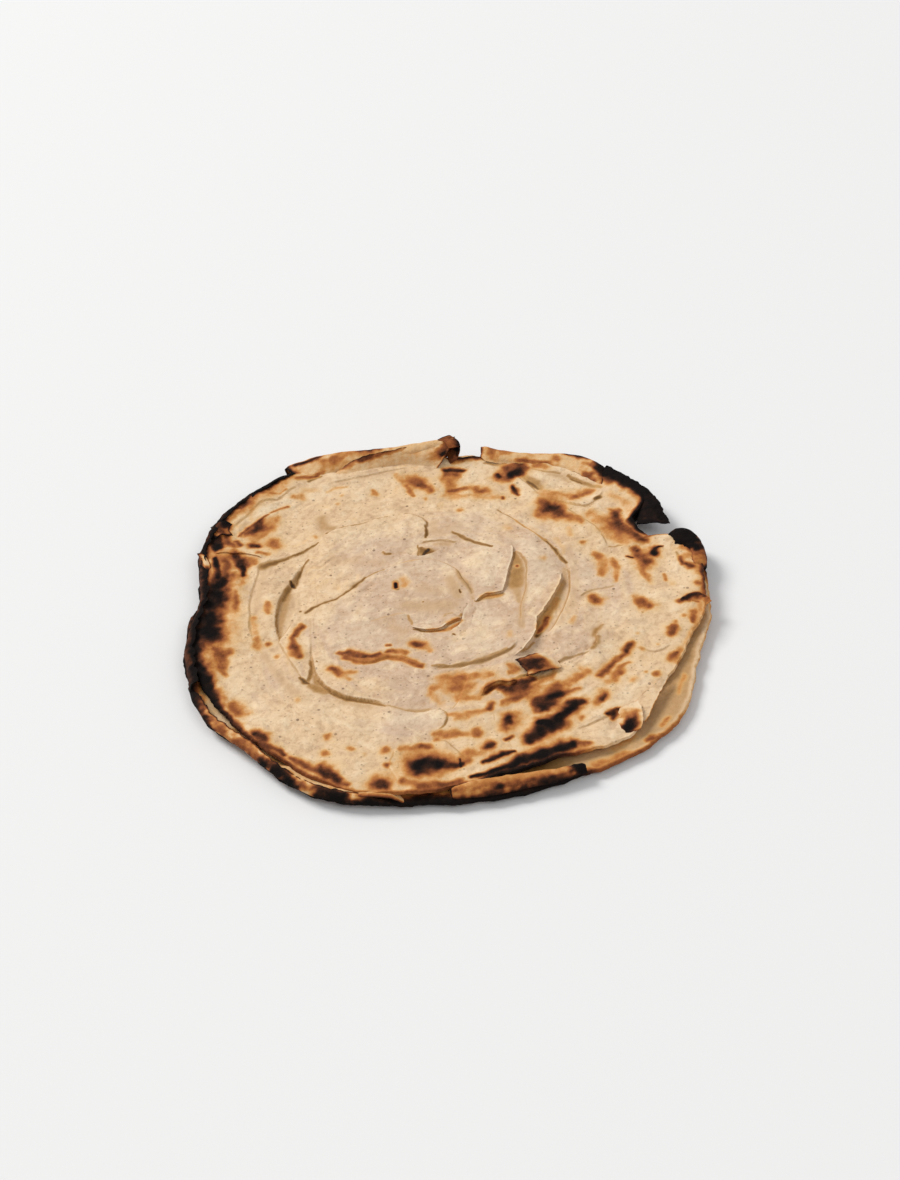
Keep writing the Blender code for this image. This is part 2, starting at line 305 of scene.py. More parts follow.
FLAKES = (
    # The coil's middle.
    Flake(0.5, 9, 1.4, 0.3, 0.0, 0.0, (
        (9.5, 3), (9, 8), (8, 12), (6, 16.5), (4.3, 22), (1, 26), (-4, 28.7), (-9, 29.6),
        (-14, 29.8), (-20, 28.5), (-25, 25.8), (-30, 23.3), (-34, 19.8), (-37, 16), (-40, 13.3),
        (-45, 10.4), (-50, 8), (-55, 4.5)
    )),
    Flake(0.4, 5, 1.2, 0.35, 0.15, 0.2, (
        (9.8, 2.6), (12.5, 5.2), (14.5, 6.5), (17, 6.6), (19.8, 7.3), (21.5, 8.5)
    )),
    Flake(0.6, 8, 4.0, 0.35, 0.2, 0.2, (
        (20.3, 6.3), (21.3, 9.5), (22.2, 12.5), (23, 16), (24, 20), (25.2, 24), (26.2, 28),
        (26.6, 32), (26.5, 36)
    )),
    Flake(0.4, 6, 3.0, 0.2, 0.0, 0.0, (
        (27, 32.5), (28.3, 30.5), (30, 27), (31.2, 23), (31.5, 19), (30.8, 15), (30.5, 11), (30, 7),
        (28.5, 2), (27.2, -3), (26.8, -9), (26.3, -15)
    )),
    Flake(0.6, 5, 1.1, 0.35, 0.3, 0.35, (
        (-14.5, -7), (-14, -9.2), (-11.5, -10.7), (-8, -11.5), (-5, -11.2), (-3, -10), (-1, -8.4),
        (2, -6.8), (5, -4.5)
    )),
    Flake(0.5, 5, 1.2, 0.3, 0.2, 0.25, (
        (9, 2.3), (8, 0.8), (6.3, -1.5), (5.3, -4.5), (4.6, -8.3), (2.5, -11.5), (-1, -13)
    )),
    Flake(0.35, 4, 1.1, 0.2, 0.0, 0.0, ((-16, -1.5), (-15.3, -4), (-14.2, -7))),
    Flake(0.4, 4, 1.2, 0.2, 0.0, 0.0, ((-16, -0.8), (-20, -0.4), (-25, -2), (-30, -3.3))),
    Flake(0.5, 5, 1.6, 0.25, 0.0, 0.0, (
        (-44, -19.5), (-41, -21), (-38, -23.8), (-34, -26), (-30, -26.4), (-27, -25), (-24, -24),
        (-21, -24.8), (-18, -26.7), (-15, -29), (-12, -30.8), (-8, -31.5)
    )),
    Flake(0.5, 9, 3.0, 0.35, 0.0, 0.0, (
        (-10, -31.5), (-4, -32), (4, -31.8), (10, -30.3), (16, -28.3), (22, -25.5), (26, -22)
    )),
    Flake(1.3, 9, 4.6, 0.8, 0.4, 0.4, (
        (21, -30), (25, -27.6), (27.5, -25), (29.3, -22), (30.6, -19), (31.4, -16), (31.6, -13),
        (32, -10.5), (34, -8), (36, -4.5), (38, -1.3), (40, 2.5), (42, 6.8), (43.2, 10.5), (44, 14),
        (45, 17)
    )),
    Flake(0.5, 7, 2.4, 0.3, 0.0, 0.0, (
        (46, 22), (47.5, 16), (47.2, 10), (46.5, 4), (44.5, -2), (42, -8), (39, -14), (35, -20)
    )),
    Flake(0.8, 9, 2.4, 0.5, 0.0, 0.0, (
        (-52.7, -16), (-52, -24), (-51, -30), (-49, -34.5), (-46.5, -38.5), (-43.5, -41.7),
        (-40, -44), (-35.5, -45.3), (-31, -46.6), (-28, -48), (-24.5, -50.5)
    )),
    Flake(0.5, 8, 1.6, 0.3, 0.0, 0.0, (
        (-6.8, -64.5), (-4.6, -61), (-4, -58), (-5, -55.3), (-8, -54.2), (-13, -54.8), (-18, -54),
        (-22, -52), (-27, -49)
    )),
    Flake(0.3, 5, 1.0, 0.15, 0.0, 0.0, (
        (-55, 4.5), (-58, 2), (-61, -2.5), (-63.5, -7), (-65, -10.5), (-63.5, -15), (-61.5, -20),
        (-59, -25.5), (-57, -30), (-55.3, -33.3), (-53.7, -31.5), (-53, -27), (-53.2, -22),
        (-53, -15), (-53, -7)
    )),
    Flake(0.9, 8, 4.2, 0.6, 0.0, 0.0, (
        (-64.7, -9.5), (-66.3, 0), (-65.3, 11), (-62, 20), (-59.5, 25), (-57.5, 29), (-55.5, 33)
    )),
    Flake(0.3, 9, 1.2, 0.15, 0.0, 0.0, (
        (-72, -15), (-74.8, -9), (-76, -4), (-76.3, 1), (-76.6, 7), (-76.8, 14), (-75.3, 23),
        (-73.8, 31), (-73, 36), (-67, 37.7), (-62.5, 38), (-60, 38.6), (-56, 41.2), (-52, 44.5),
        (-48.5, 47.5)
    )),
    Flake(0.8, 9, 2.4, 0.45, 0.0, 0.0, (
        (-20, 60), (-25, 58.6), (-30, 56.3), (-36, 55.3), (-43, 53.5), (-50, 49)
    )),
    Flake(0.7, 7, 2.4, 0.4, 0.0, 0.0, (
        (-7.3, 43), (-6.4, 48), (-6.8, 51), (-6, 54), (-8.5, 56.8), (-11, 58.5), (-15.5, 60.6)
    )),
    Flake(0.3, 6, 1.0, 0.15, 0.0, 0.0, (
        (2.5, 47), (6, 43.8), (8.5, 41.3), (12, 38.8), (16, 36.2), (20.5, 34)
    )),
    Flake(0.3, 4, 1.0, 0.15, 0.0, 0.0, ((-10.5, 41), (-6, 41.5), (-1, 41), (6, 38.7))),
    Flake(0.8, 4, 2.0, 1.0, 0.0, 0.0, ((-1, 36), (-4, 34), (-8, 32.3), (-13, 33.3), (-15, 36))),
    Flake(0.35, 3, 0.9, 0.25, 0.0, 0.0, ((-25, 37.5), (-23.5, 35.6), (-20.8, 35.4))),
    Flake(0.4, 8, 1.1, 0.2, 0.0, 0.0, (
        (47.5, 18), (46, 24), (43.5, 28.5), (42, 32), (40, 36), (37, 40), (34, 43.3), (31, 47),
        (28.5, 51), (25.5, 54.5), (22, 59)
    )),
    Flake(0.8, 6, 2.6, 0.6, 0.0, 0.0, (
        (57.5, -15), (55, -19), (53.5, -22), (53.7, -25), (52, -28), (48, -31)
    )),
    Flake(0.4, 6, 1.6, 0.25, 0.0, 0.0, (
        (21, -42), (26, -40.2), (30, -38.7), (34, -37), (38, -35.3), (42, -33), (46, -31.5),
        (51, -30.7)
    )),
    Flake(0.8, 5, 2.0, 0.7, 0.4, 0.4, (
        (8.3, -49.5), (10, -46.2), (12.5, -44.2), (16, -42.2), (19.5, -43.5), (23, -42)
    )),
    # The bands inside the rim.
    Flake(0.3, 7, 1.0, 0.15, 0.0, 0.0, (
        (-85, 60), (-83.5, 62), (-80, 67), (-76.5, 72.5), (-73.5, 76), (-70.5, 77.2), (-67, 76.6),
        (-64.5, 79), (-62, 82.5), (-57.5, 85.5)
    )),
    Flake(0.3, 6, 1.0, 0.15, 0.0, 0.0, (
        (-58, 71.5), (-62, 71.6), (-66, 70.6), (-70, 68.2), (-74, 65.5), (-77, 62.5), (-80, 59),
        (-84, 54.5)
    )),
    Flake(0.3, 8, 1.1, 0.15, 0.0, 0.0, (
        (64.5, 28), (63.8, 31), (62.8, 35), (61.5, 40), (59.5, 44), (56, 48.5), (52, 53), (47, 59)
    )),
    Flake(0.4, 6, 1.1, 0.25, 0.0, 0.0, (
        (41, 68), (44.5, 62), (48, 60), (52, 58.3), (55, 56.8), (58, 55.5), (61, 57), (63.5, 59.5),
        (65.5, 62), (66.5, 66)
    )),
    Flake(0.4, 5, 1.1, 0.2, 0.0, 0.0, (
        (41, 63), (38, 70), (35, 74.5), (32.5, 77.8), (30.3, 74.3), (29, 72), (28, 68)
    )),
    Flake(0.4, 5, 1.2, 0.35, 0.0, 0.0, (
        (35, 80), (37.5, 76), (39.5, 73), (41.5, 70.5), (43, 67.5)
    )),
    Flake(0.4, 5, 1.0, 0.25, 0.2, 0.2, (
        (99, -8), (96, -4.5), (93, -3.6), (90.5, -4.7), (86.5, -7.5)
    )),
    Flake(0.25, 5, 1.0, 0.1, 0.0, 0.0, ((49.5, -1), (53, 2.5), (56, 4), (60, 4.4), (65, 4.8))),
    Flake(0.3, 6, 1.2, 0.15, 0.0, 0.0, ((-46, 84), (-40, 86), (-30, 88), (-20, 90), (-10, 91))),
    Flake(0.25, 5, 1.0, 0.15, 0.0, 0.0, ((67, -30), (71.3, -33), (74, -34), (77, -33), (81, -30))),
    Flake(0.4, 6, 1.1, 0.2, 0.0, 0.0, (
        (1.5, -80), (-0.5, -77.3), (-3.2, -73.3), (-5.5, -70.3), (-11, -69)
    )),
    Flake(0.35, 6, 1.1, 0.2, 0.0, 0.0, (
        (-23, -71), (-24.2, -75), (-25.8, -79.5), (-24.5, -84), (-22, -90)
    )),
    Flake(0.3, 5, 1.0, 0.15, 0.1, 0.15, (
        (-93, 45.5), (-87, 45), (-84, 43.8), (-80, 44), (-76, 42.5), (-71, 39)
    )),
    Flake(0.35, 6, 1.1, 0.2, 0.0, 0.0, ((40, -70), (46, -68.3), (52, -65.6), (59, -61))),
    Flake(0.35, 5, 1.1, 0.2, 0.0, 0.0, ((5, -37), (4, -41.5), (2.3, -46), (0.3, -51), (-2.5, -55))),
)


# Broad swellings of the top: how high, the middle, and how far each reaches along X and Y.
SWELLINGS = (
    (1.5, -20, 12, 24, 16), (0.9, 14, -14, 13, 14), (0.8, 15, 24, 9, 15), (0.8, 36, 20, 6, 20),
    (0.8, -28, 48, 22, 8), (0.9, -69, 18, 5, 20), (0.6, -60, -16, 4, 12), (0.9, -28, -37, 20, 6),
    (0.7, -28, -60, 28, 7), (0.6, -82, 12, 4, 24), (0.7, 58, 38, 9, 18), (0.7, 70, -14, 13, 18),
    (0.6, -20, 71, 30, 8), (0.6, 56, -50, 14, 10), (0.6, 12, 52, 16, 7), (0.6, -62, -52, 16, 12),
    (0.5, 30, 66, 14, 6), (0.5, 12, -70, 16, 6),
)


def level_height(x, y):
    """Height of the top without its flakes and bumps."""
    radius, heading = polar(x, y)
    share = radius / upper_radius(heading)
    thickness = MIDDLE_THICKNESS + (EDGE_THICKNESS - MIDDLE_THICKNESS) * np.minimum(share, 1.0) ** 3
    fold = fold_height(heading) * (smoothstep(0.86, 0.965, share) - 0.45 * smoothstep(0.97, 1.0, share))
    height = underside_height(x, y) + thickness + np.where(radius > 40, fold, 0.0)
    for swelling, middle_x, middle_y, reach_x, reach_y in SWELLINGS:
        far = ((x - middle_x) / reach_x) ** 2 + ((y - middle_y) / reach_y) ** 2
        height = height + swelling * np.exp(-far)
    return height + 0.75 * noise(x, y, 23, 31)


def drawn(x, y):
    """Where places on the top lie in the drawing that flakes and marks are laid out in."""
    lift = level_height(x, y) - DRAWING_HEIGHT
    return x + DRAWING_SPREAD * x * lift, y + (DRAWING_SLANT + DRAWING_SPREAD * y) * lift


def undrawn(x, y):
    """Where places in the drawing lie on the top, found in three steps."""
    top_x, top_y = x, y
    for _ in range(3):
        lift = level_height(top_x, top_y) - DRAWING_HEIGHT
        top_x = x - DRAWING_SPREAD * x * lift
        top_y = y - (DRAWING_SLANT + DRAWING_SPREAD * y) * lift
    return top_x, top_y


def top_relief(x, y):
    """The flakes and bumps of the top."""
    radius, _ = polar(x, y)
    drawn_x, drawn_y = drawn(x, y)
    relief = np.zeros(np.shape(x))
    for flake in FLAKES:
        relief = relief + flake.relief(drawn_x, drawn_y)
    waves = 0.52 * noise(x, y, 9, 32) + 0.2 * noise(x, y, 3.6, 33)
    ripple = np.sin(2 * math.pi * (radius / 4.2 + 1.6 * noise(x, y, 19, 34) + 0.7 * noise(x, y, 7, 35)))
    ripple = ripple * smoothstep(0.0, 0.7, noise(x, y, 13, 36)) * smoothstep(8, 25, radius) * 0.16
    return relief + waves + ripple


def top_height(x, y):
    """Height of the top."""
    return level_height(x, y) + top_relief(x, y)


# --- Scorch marks, painted shade and painted highlights --------------------------------------

# Each mark is how dark it is, from 0 to 1, and the points that it runs through: x, y, half width.
MARKS = (
    # The middle of the coil.
    (0.6, ((-56.3, -3, 1.3), (-58.3, -6, 1.6), (-60, -10, 1.5), (-59.6, -14, 1.9), (-58.3, -18, 2.0),
           (-57.3, -20.5, 1.4))),
    (0.55, ((-45.5, -28.5, 1.9), (-42.5, -30.8, 2.0))),
    (0.38, ((-42, -31, 1.8), (-37, -31.5, 1.4))),
    (0.3, ((-41, -33, 1.8), (-38.5, -35, 1.2))),
    (0.62, ((-42.5, -19.3, 1.0), (-38.5, -20.5, 1.7), (-35, -22.3, 2.0), (-30, -22.8, 1.7),
            (-27, -22.5, 1.4))),
    (0.5, ((-24, -21.3, 1.1), (-19.5, -22, 1.6), (-17.5, -23, 1.4))),
    (0.44, ((-40, -22, 1.6), (-36, -25, 1.6), (-30, -25.5, 1.4), (-25, -23.5, 1.4), (-20, -25, 1.5),
            (-15, -28.5, 1.7), (-12.5, -30.5, 1.2))),
    (0.34, ((-40, -22.4, 0.6), (-37, -25, 0.9), (-33, -26.6, 0.7), (-29, -26.4, 0.7), (-25, -24.8, 0.7),
            (-20, -26, 0.7), (-15, -29.6, 0.8), (-12, -31.4, 0.6))),
    (0.42, ((-9, -12.3, 0.5), (-4, -12, 0.8), (0, -11.2, 1.0), (4.3, -8.6, 0.8))),
    (0.32, ((-1, -8.6, 0.9), (3.5, -6.6, 0.9))),
    (0.5, ((-24.5, -18.2, 0.8), (-23.2, -18.2, 0.7))),
    (0.62, ((-14, -17.5, 1.9), (-11.5, -19.2, 2.1))),
    (0.3, ((-9.5, -20.5, 1.6), (-8, -22.5, 1.3))),
    (0.28, ((-17, 19, 2.0), (-16.2, 16.5, 2.2))),
    (1.0, ((-20, 17.6, 0.7), (-19.8, 15.2, 0.8))),
    (0.27, ((38.3, 24.6, 1.8),)),
    (0.55, ((28, 21.5, 0.8),)),
    (0.2, ((22, -17, 1.4), (21.6, -19, 1.7))),
    (0.18, ((44, 36, 1.4), (46.5, 30, 1.6), (46.5, 27, 1.2))),
    (0.32, ((28.5, 51, 0.45), (31, 47.3, 0.5), (34, 43.5, 0.5), (37, 40, 0.5), (40, 36, 0.5))),
    (0.28, ((-19, 28.8, 0.4), (-15, 29.9, 0.5), (-10.5, 29.7, 0.4))),
    (0.3, ((12.5, 4.6, 1.0), (16, 5.6, 1.2), (20, 5.6, 1.0))),
    # These three marks paint brown shade into the hollow beside the lifted curl's edge.
    (0.6, ((32.6, -17.5, 0.6), (34.4, -13.5, 1.3), (36.4, -9.5, 1.7))),
    (0.3, ((37.8, -6.5, 1.8), (39.8, -2.5, 1.7), (41.3, 1, 1.4))),
    (0.2, ((42, 4, 1.6), (44, 9, 1.3))),
    (0.22, ((26, 45.5, 2.2),)),
    (0.38, ((7.5, 59.8, 1.6),)),
    (0.3, ((-51, 50.3, 1.4),)),
    # The translucent and broken patch in front of the coil.
    (0.44, ((1.5, -39.5, 3.8), (-0.5, -43.5, 4.2))),
    (0.36, ((-7.5, -43, 2.6), (-4.5, -39.5, 3.5), (4, -38.5, 3.6), (12, -38.5, 3.2))),
    (0.36, ((4.5, -45, 3.2), (1.5, -49, 2.4))),
    (0.26, ((-9, -46, 2.2), (-6, -50, 2.4))),
    (0.45, ((20.5, -35, 1.8), (22.5, -37, 2.0), (20, -38.5, 1.2))),
    (0.74, ((21.5, -44.5, 2.4), (25, -44, 2.6), (27, -42, 1.8))),
    (0.68, ((16.5, -46, 2.2), (22, -47.5, 3.0), (26, -46.5, 2.2))),
    (0.66, ((11, -47.3, 1.8), (13, -45.3, 2.0), (17, -44.5, 2.0))),
    (0.4, ((8.5, -49.5, 1.8), (4, -49.5, 1.6))),
    (0.52, ((24.5, -50.5, 1.7), (20, -52.5, 1.8), (16.5, -54, 1.4))),
    (0.4, ((29, -46.5, 2.8), (25, -50, 3.4), (20, -50, 2.6))),
    (0.62, ((12.3, -53.5, 1.4), (11.5, -56.5, 1.5))),
    (0.36, ((-4, -56.4, 0.9), (0, -58, 1.8), (5, -57.8, 2.1), (10, -57, 1.7))),
    (0.3, ((3, -59.8, 1.6), (-1, -60, 1.4))),
    (0.36, ((31, -43, 2.4), (35, -42.5, 2.6), (36.5, -39.5, 1.6))),
    (0.72, ((18.3, -62, 1.9), (17.3, -64, 2.2))),
    (0.5, ((19, -61, 3.4), (17, -65, 3.2))),
    (0.44, ((-9, -66.3, 1.4), (-4, -67, 2.0), (2, -67.3, 1.9))),
    (0.52, ((5.5, -66.5, 2.0), (6, -68, 2.0))),
    (0.4, ((-8, -69, 1.6),)),
    # The right of the coil.
    (0.45, ((54.8, 32.5, 1.5),)),
    (0.25, ((50.5, 42, 1.2), (50.5, 37.5, 1.5))),
    (0.42, ((58.5, 25, 1.6), (60.3, 22, 2.5), (61, 18, 2.6), (60, 13, 2.0))),
    (0.38, ((65.5, 20.5, 1.8), (66, 16, 2.2), (65.3, 11, 1.5), (64.7, 7.5, 1.2))),
    (0.64, ((74.5, 25.5, 2.2), (77, 21, 2.8), (77.6, 17, 2.8))),
    (0.42, ((75.5, 21, 3.0), (75.5, 15, 2.6), (77, 10, 2.4), (77.5, 7, 1.6))),
    (0.75, ((75, 24.5, 0.6),)),
    (0.78, ((71, 22, 0.5), (73, 21, 0.4))),
    (1.0, ((81.8, 25.3, 1.6), (81.5, 22.3, 1.9))),
    (0.95, ((83.5, 25.6, 0.8), (85.3, 25.6, 0.4))),
    (0.4, ((83.7, 9, 0.9), (83.7, 5.5, 0.9))),
    (0.22, ((86, 3.5, 1.8),)),
    (0.5, ((79.5, 32.6, 0.8), (84, 33.8, 0.9), (88, 34.4, 1.0))),
    (0.57, ((55.3, -0.5, 2.4), (55.7, -2.5, 2.6))),
    (0.58, ((72.3, -4, 2.5), (74.2, -7.5, 3.0))),
    (0.45, ((75.5, -9, 1.6),)),
    (0.26, ((46.7, -11, 1.3), (45.2, -14.5, 1.3))),
    (0.62, ((83, -20, 1.2), (82, -22.5, 2.2), (81.5, -24.5, 1.9))),
    (0.42, ((84, -18.5, 1.2),)),
    (0.76, ((66, -29.3, 1.9), (63.8, -31.8, 1.7))),
    (0.6, ((63, -33, 1.5), (58, -37.5, 1.6), (54.5, -41.5, 1.9), (52.5, -43.5, 1.6))),
    (0.48, ((64, -38.5, 1.0), (60.5, -41, 2.0), (57.5, -45.5, 2.2))),
    (0.5, ((61, -43.5, 1.6),)),
    (0.28, ((64.5, -47.5, 1.8),)),
    (0.28, ((55, -47, 2.2),)),
    (0.42, ((47.5, -41.5, 2.4), (43, -44, 2.2), (40, -45.5, 1.6))),
    (0.3, ((46, -38.8, 1.4),)),
    (0.55, ((81.5, -35.5, 1.4), (79.5, -38.3, 2.0))),
    (0.3, ((83, -33.5, 2.0),)),
    (0.52, ((73.2, -45.5, 1.6),)),
    (0.3, ((69, -44, 1.0),)),
    (0.28, ((69.5, -32.3, 1.4),)),
    (0.3, ((76, -29.8, 0.9),)),
    (0.3, ((69, -23, 1.0),)),
    (0.5, ((91.5, -12.8, 1.6), (91.3, -16, 1.8), (90.3, -19, 1.3))),
    (0.35, ((87.8, -15.5, 1.3),)),
    (0.28, ((94.5, -9, 1.4), (93.5, -18, 1.4), (88, -25.5, 1.3), (84.5, -33, 1.2), (80.5, -41, 1.0))),
    (0.84, ((88.6, -6.2, 0.8), (90.6, -5, 1.6), (93, -4.4, 1.8), (95.3, -4, 1.3))),
    (0.62, ((95.3, -3.3, 0.8), (96.8, -6, 0.9))),
    (0.56, ((87.4, -6.8, 1.4), (92, -6.4, 1.8), (96, -6, 1.6))),
    (0.5, ((90, -7.5, 0.5), (94, -8.2, 0.5))),
    (0.6, ((96, 2, 1.8),)),
    (0.72, ((93, 14, 1.3), (94.7, 11.8, 1.7))),
    (0.6, ((91.3, 19, 1.0), (91.5, 14, 1.0))),
    (0.85, ((100.5, 20, 0.9), (100.2, 10, 0.9), (99.6, 0, 0.9))),
    (0.36, ((94, 20, 3.0), (97, 16, 2.5), (98, 6, 2.0))),
    # The front right.
    (0.66, ((53, -53.8, 1.5), (51.5, -56, 1.4))),
    (0.45, ((53, -54, 3.0), (50, -57.5, 2.2))),
    (0.82, ((37, -52, 2.6), (34, -53.5, 3.4), (32, -56, 3.4), (31, -59, 1.8))),
    (0.6, ((37, -47.5, 2.4), (34.5, -51, 3.6), (29, -54, 2.6), (29, -59, 2.0))),
    (0.48, ((40, -50.5, 1.5), (44, -49.5, 1.3))),
    (0.92, ((44, -57, 2.2), (41, -58.5, 2.8), (37.5, -62, 2.8), (34, -66, 3.6), (29.5, -68.5, 4.2),
            (26, -72, 3.0))),
    (0.9, ((28.5, -65.2, 1.4), (31, -65.5, 1.8))),
    (0.5, ((43.5, -64.8, 1.5),)),
    (0.8, ((52.8, -64.2, 0.9), (55, -63.6, 1.6), (57.2, -62, 1.0))),
    (0.7, ((54.8, -66.6, 1.0), (55.8, -64.6, 1.5))),
    (0.42, ((2.5, -77.3, 2.5), (6, -78, 2.0))),
    (0.74, ((8.7, -75.6, 1.4), (11, -74.2, 1.6))),
    (0.4, ((10, -75, 3.2),)),
    (0.66, ((16, -72.3, 0.9), (18.3, -70.8, 0.9))),
    (0.84, ((7.3, -82.3, 0.8), (10, -80.8, 1.4), (14, -79.5, 1.3), (18.5, -78.5, 0.8))),
    (0.9, ((-0.8, -80, 0.4), (-0.7, -83.5, 0.4))),
    (1.0, ((15, -85.2, 1.5), (20, -83.2, 2.2), (26, -81.3, 2.7), (33, -79.5, 2.8), (39, -77.5, 2.2))),
    (0.55, ((42, -77.3, 1.8), (45, -77.5, 1.4))),
    (0.97, ((3, -88.8, 0.9), (8, -87.7, 0.9), (14, -86, 1.2))),
    (0.42, ((-3, -80, 2.6), (2, -80.3, 2.2))),
    (0.62, ((-16, -91, 1.6), (-8, -91.3, 1.8), (-1, -90.5, 1.5))),
    # The front left.
    (0.62, ((-14, -72.4, 1.6), (-11, -72.6, 1.4))),
    (0.4, ((-21, -72.3, 1.4), (-16, -72.5, 1.6))),
    (0.15, ((-20, -75, 2.0), (-9, -74.5, 2.2))),
    (0.48, ((-26.5, -72.5, 1.9),)),
    (0.6, ((-26.3, -79.6, 1.3),)),
    (0.96, ((-15.5, -81, 4.6), (-10.5, -81.2, 4.7))),
    (0.84, ((-8, -82, 2.2), (-4, -82.3, 1.8), (0, -82, 1.2))),
    (0.5, ((-20.5, -88.5, 1.7), (-17.5, -89.5, 1.7))),
    (0.82, ((-28.5, -88.5, 3.6),)),
    (0.74, ((-73, -58.5, 2.0), (-70.5, -60.5, 2.6))),
    (0.66, ((-71.5, -63, 1.4), (-68.5, -65.5, 2.0), (-65.5, -68, 2.0), (-62.5, -70.5, 1.4))),
    (0.6, ((-60, -72.5, 1.4), (-56.5, -75.5, 1.7), (-53, -78.5, 1.6), (-50, -80, 1.6))),
    (0.76, ((-49, -79, 2.6), (-46.5, -82, 2.8), (-44.5, -84, 2.0))),
    (0.6, ((-43.5, -85.5, 1.6), (-40.5, -87.5, 1.2))),
    (0.54, ((-81, -43.5, 3.0), (-79.5, -46.5, 3.0))),
    (0.48, ((-47, -63, 1.6),)),
    (0.5, ((-48, -71, 1.7),)),
    (0.4, ((-38.8, -70, 1.5),)),
    (0.25, ((-34, -73.5, 1.3),)),
    (0.24, ((-58, -43.2, 1.5),)),
    # The left.
    (0.42, ((-69.2, 12, 1.5), (-69.5, 8.5, 1.9), (-68.8, 6, 1.5))),
    (0.3, ((-75, 4, 1.2), (-74.5, -1, 1.7), (-74.3, -5, 1.7))),
    (0.4, ((-74, -8.5, 1.8), (-73, -12, 1.8))),
    (0.48, ((-69, -11.5, 1.3),)),
    (0.34, ((-66, -18.3, 1.4),)),
    (0.44, ((-82, 20, 1.2), (-82.5, 16, 1.4), (-82.3, 11, 1.2))),
    (0.3, ((-82.5, 16, 2.4), (-82.3, 10, 2.0))),
    (0.6, ((-89, -11, 1.5), (-87.5, -15, 3.2), (-86.5, -20, 2.6), (-85.3, -25, 1.6))),
    (0.5, ((-84, -13, 2.0),)),
    (0.3, ((-92.5, -13, 2.0), (-90, -24, 2.0))),
    (1.0, ((-88.5, 27.5, 3.7), (-89.5, 22, 4.8), (-91, 15, 5.1), (-92, 8, 4.8), (-92, 1, 5.2),
           (-91, -4, 5.0))),
    (1.0, ((-96.5, 30, 2.6), (-97, 15, 3.0), (-98, 0, 4.0), (-96.5, -10, 2.4))),
    (1.0, ((-96, -18, 2.0), (-93.5, -23, 3.0), (-92.5, -28, 3.0), (-90.5, -33, 2.0))),
    (0.92, ((-91, 42.5, 1.4), (-90.5, 36, 1.4), (-89.5, 31, 1.6))),
    (0.5, ((-86.5, 41, 2.2), (-86.5, 34, 2.2), (-86, 30, 1.5))),
    (0.86, ((-82.8, 42.5, 2.5), (-81.5, 39, 2.3), (-80.3, 34, 1.6), (-80, 30.5, 1.2))),
    (0.6, ((-79.5, 40, 2.2), (-78.4, 36, 1.8))),
    (0.46, ((-76.3, 39.5, 2.2), (-75.5, 37.5, 1.6))),
    (0.34, ((-80, 26, 2.5), (-79.5, 30, 2.0))),
    (0.42, ((-87.5, 42, 2.6), (-87, 35, 2.6), (-84, 30, 2.6))),
    (0.18, ((-81, 28, 4.0), (-82.5, 15, 4.5), (-82.5, 2, 5.0), (-82, -8, 4.0))),
    # The back left.
    (0.7, ((-79.5, 55.6, 1.8), (-76.5, 57.4, 2.6), (-74.3, 60, 2.2))),
    (0.58, ((-78, 56.6, 2.2), (-74.6, 60.8, 2.4), (-72.6, 63.6, 1.8), (-72.4, 58, 2.8))),
    (0.62, ((-82, 55, 0.5), (-77, 60.8, 0.7), (-72.5, 65.4, 0.7), (-70.6, 67.3, 0.5))),
    (0.36, ((-76, 53.5, 3.2), (-69, 58, 3.4), (-68, 64, 3.0))),
    (0.74, ((-76.6, 48.5, 1.8), (-74, 48, 1.9))),
    (0.5, ((-68, 49.5, 2.7), (-67.4, 46.5, 2.7))),
    (0.68, ((-83.3, 51.5, 1.0), (-81.5, 49, 1.4))),
    (0.98, ((-93, 58, 3.0), (-91.5, 53, 3.4), (-90, 48, 2.6))),
    (0.9, ((-88.5, 63, 2.2), (-87, 60, 1.8))),
    (0.62, ((-86.5, 56, 1.8), (-86.5, 51, 2.0), (-84, 48, 1.6))),
    (0.4, ((-74, 43, 1.0), (-70, 41.5, 1.2))),
    (0.55, ((-69.5, 68.7, 0.6), (-66, 70.6, 0.9), (-62.3, 71.2, 0.9))),
    (0.36, ((-60.5, 77.5, 1.8), (-57, 77.5, 2.6))),
    (0.2, ((-56, 81.5, 2.0), (-50, 81, 2.0))),
    (0.4, ((-40, 75.8, 0.9),)),
    (0.3, ((-41.5, 70.5, 1.0),)),
    (0.25, ((-46, 79, 0.8), (-43, 81, 1.0), (-38, 81.5, 0.8))),
    (0.56, ((-58.5, 90.4, 1.3), (-54, 90.6, 1.4), (-49.5, 90.8, 0.9))),
    (0.36, ((-87.5, 66, 2.5), (-82, 73, 3.0), (-75, 82, 3.2), (-67, 88.5, 3.5), (-61, 93, 2.5))),
    (0.24, ((-80, 71, 3.5), (-72, 80, 3.5), (-65, 85, 3.5))),
    (0.4, ((-70, 82, 0.8), (-66, 80.5, 0.8), (-63.3, 83, 0.8))),
    # The back.
    (0.44, ((-27.2, 77.5, 1.2), (-26.8, 75.3, 1.6))),
    (0.6, ((-10.5, 82, 3.4), (-8.5, 80.3, 3.6), (-6.5, 78, 2.6))),
    (0.52, ((-3.8, 74.5, 2.4),)),
    (0.45, ((-13.5, 79, 1.2), (-12, 75, 1.4), (-10.5, 71.5, 1.0))),
    (0.28, ((-17.5, 87, 1.5), (-14.5, 80, 2.0), (-12, 75, 2.2))),
    (0.32, ((-5.8, 69, 1.2),)),
    (0.26, ((-8, 78, 4.5),)),
    (0.8, ((3.8, 87, 1.7), (6.5, 87, 2.0), (10, 85.8, 1.4))),
    (0.55, ((4, 84, 2.6), (7, 83.5, 2.6))),
    (0.45, ((5, 80, 3.4), (5.5, 76.5, 3.2))),
    (0.55, ((4, 73, 1.5), (7.5, 73.3, 1.8), (11, 73.8, 1.5))),
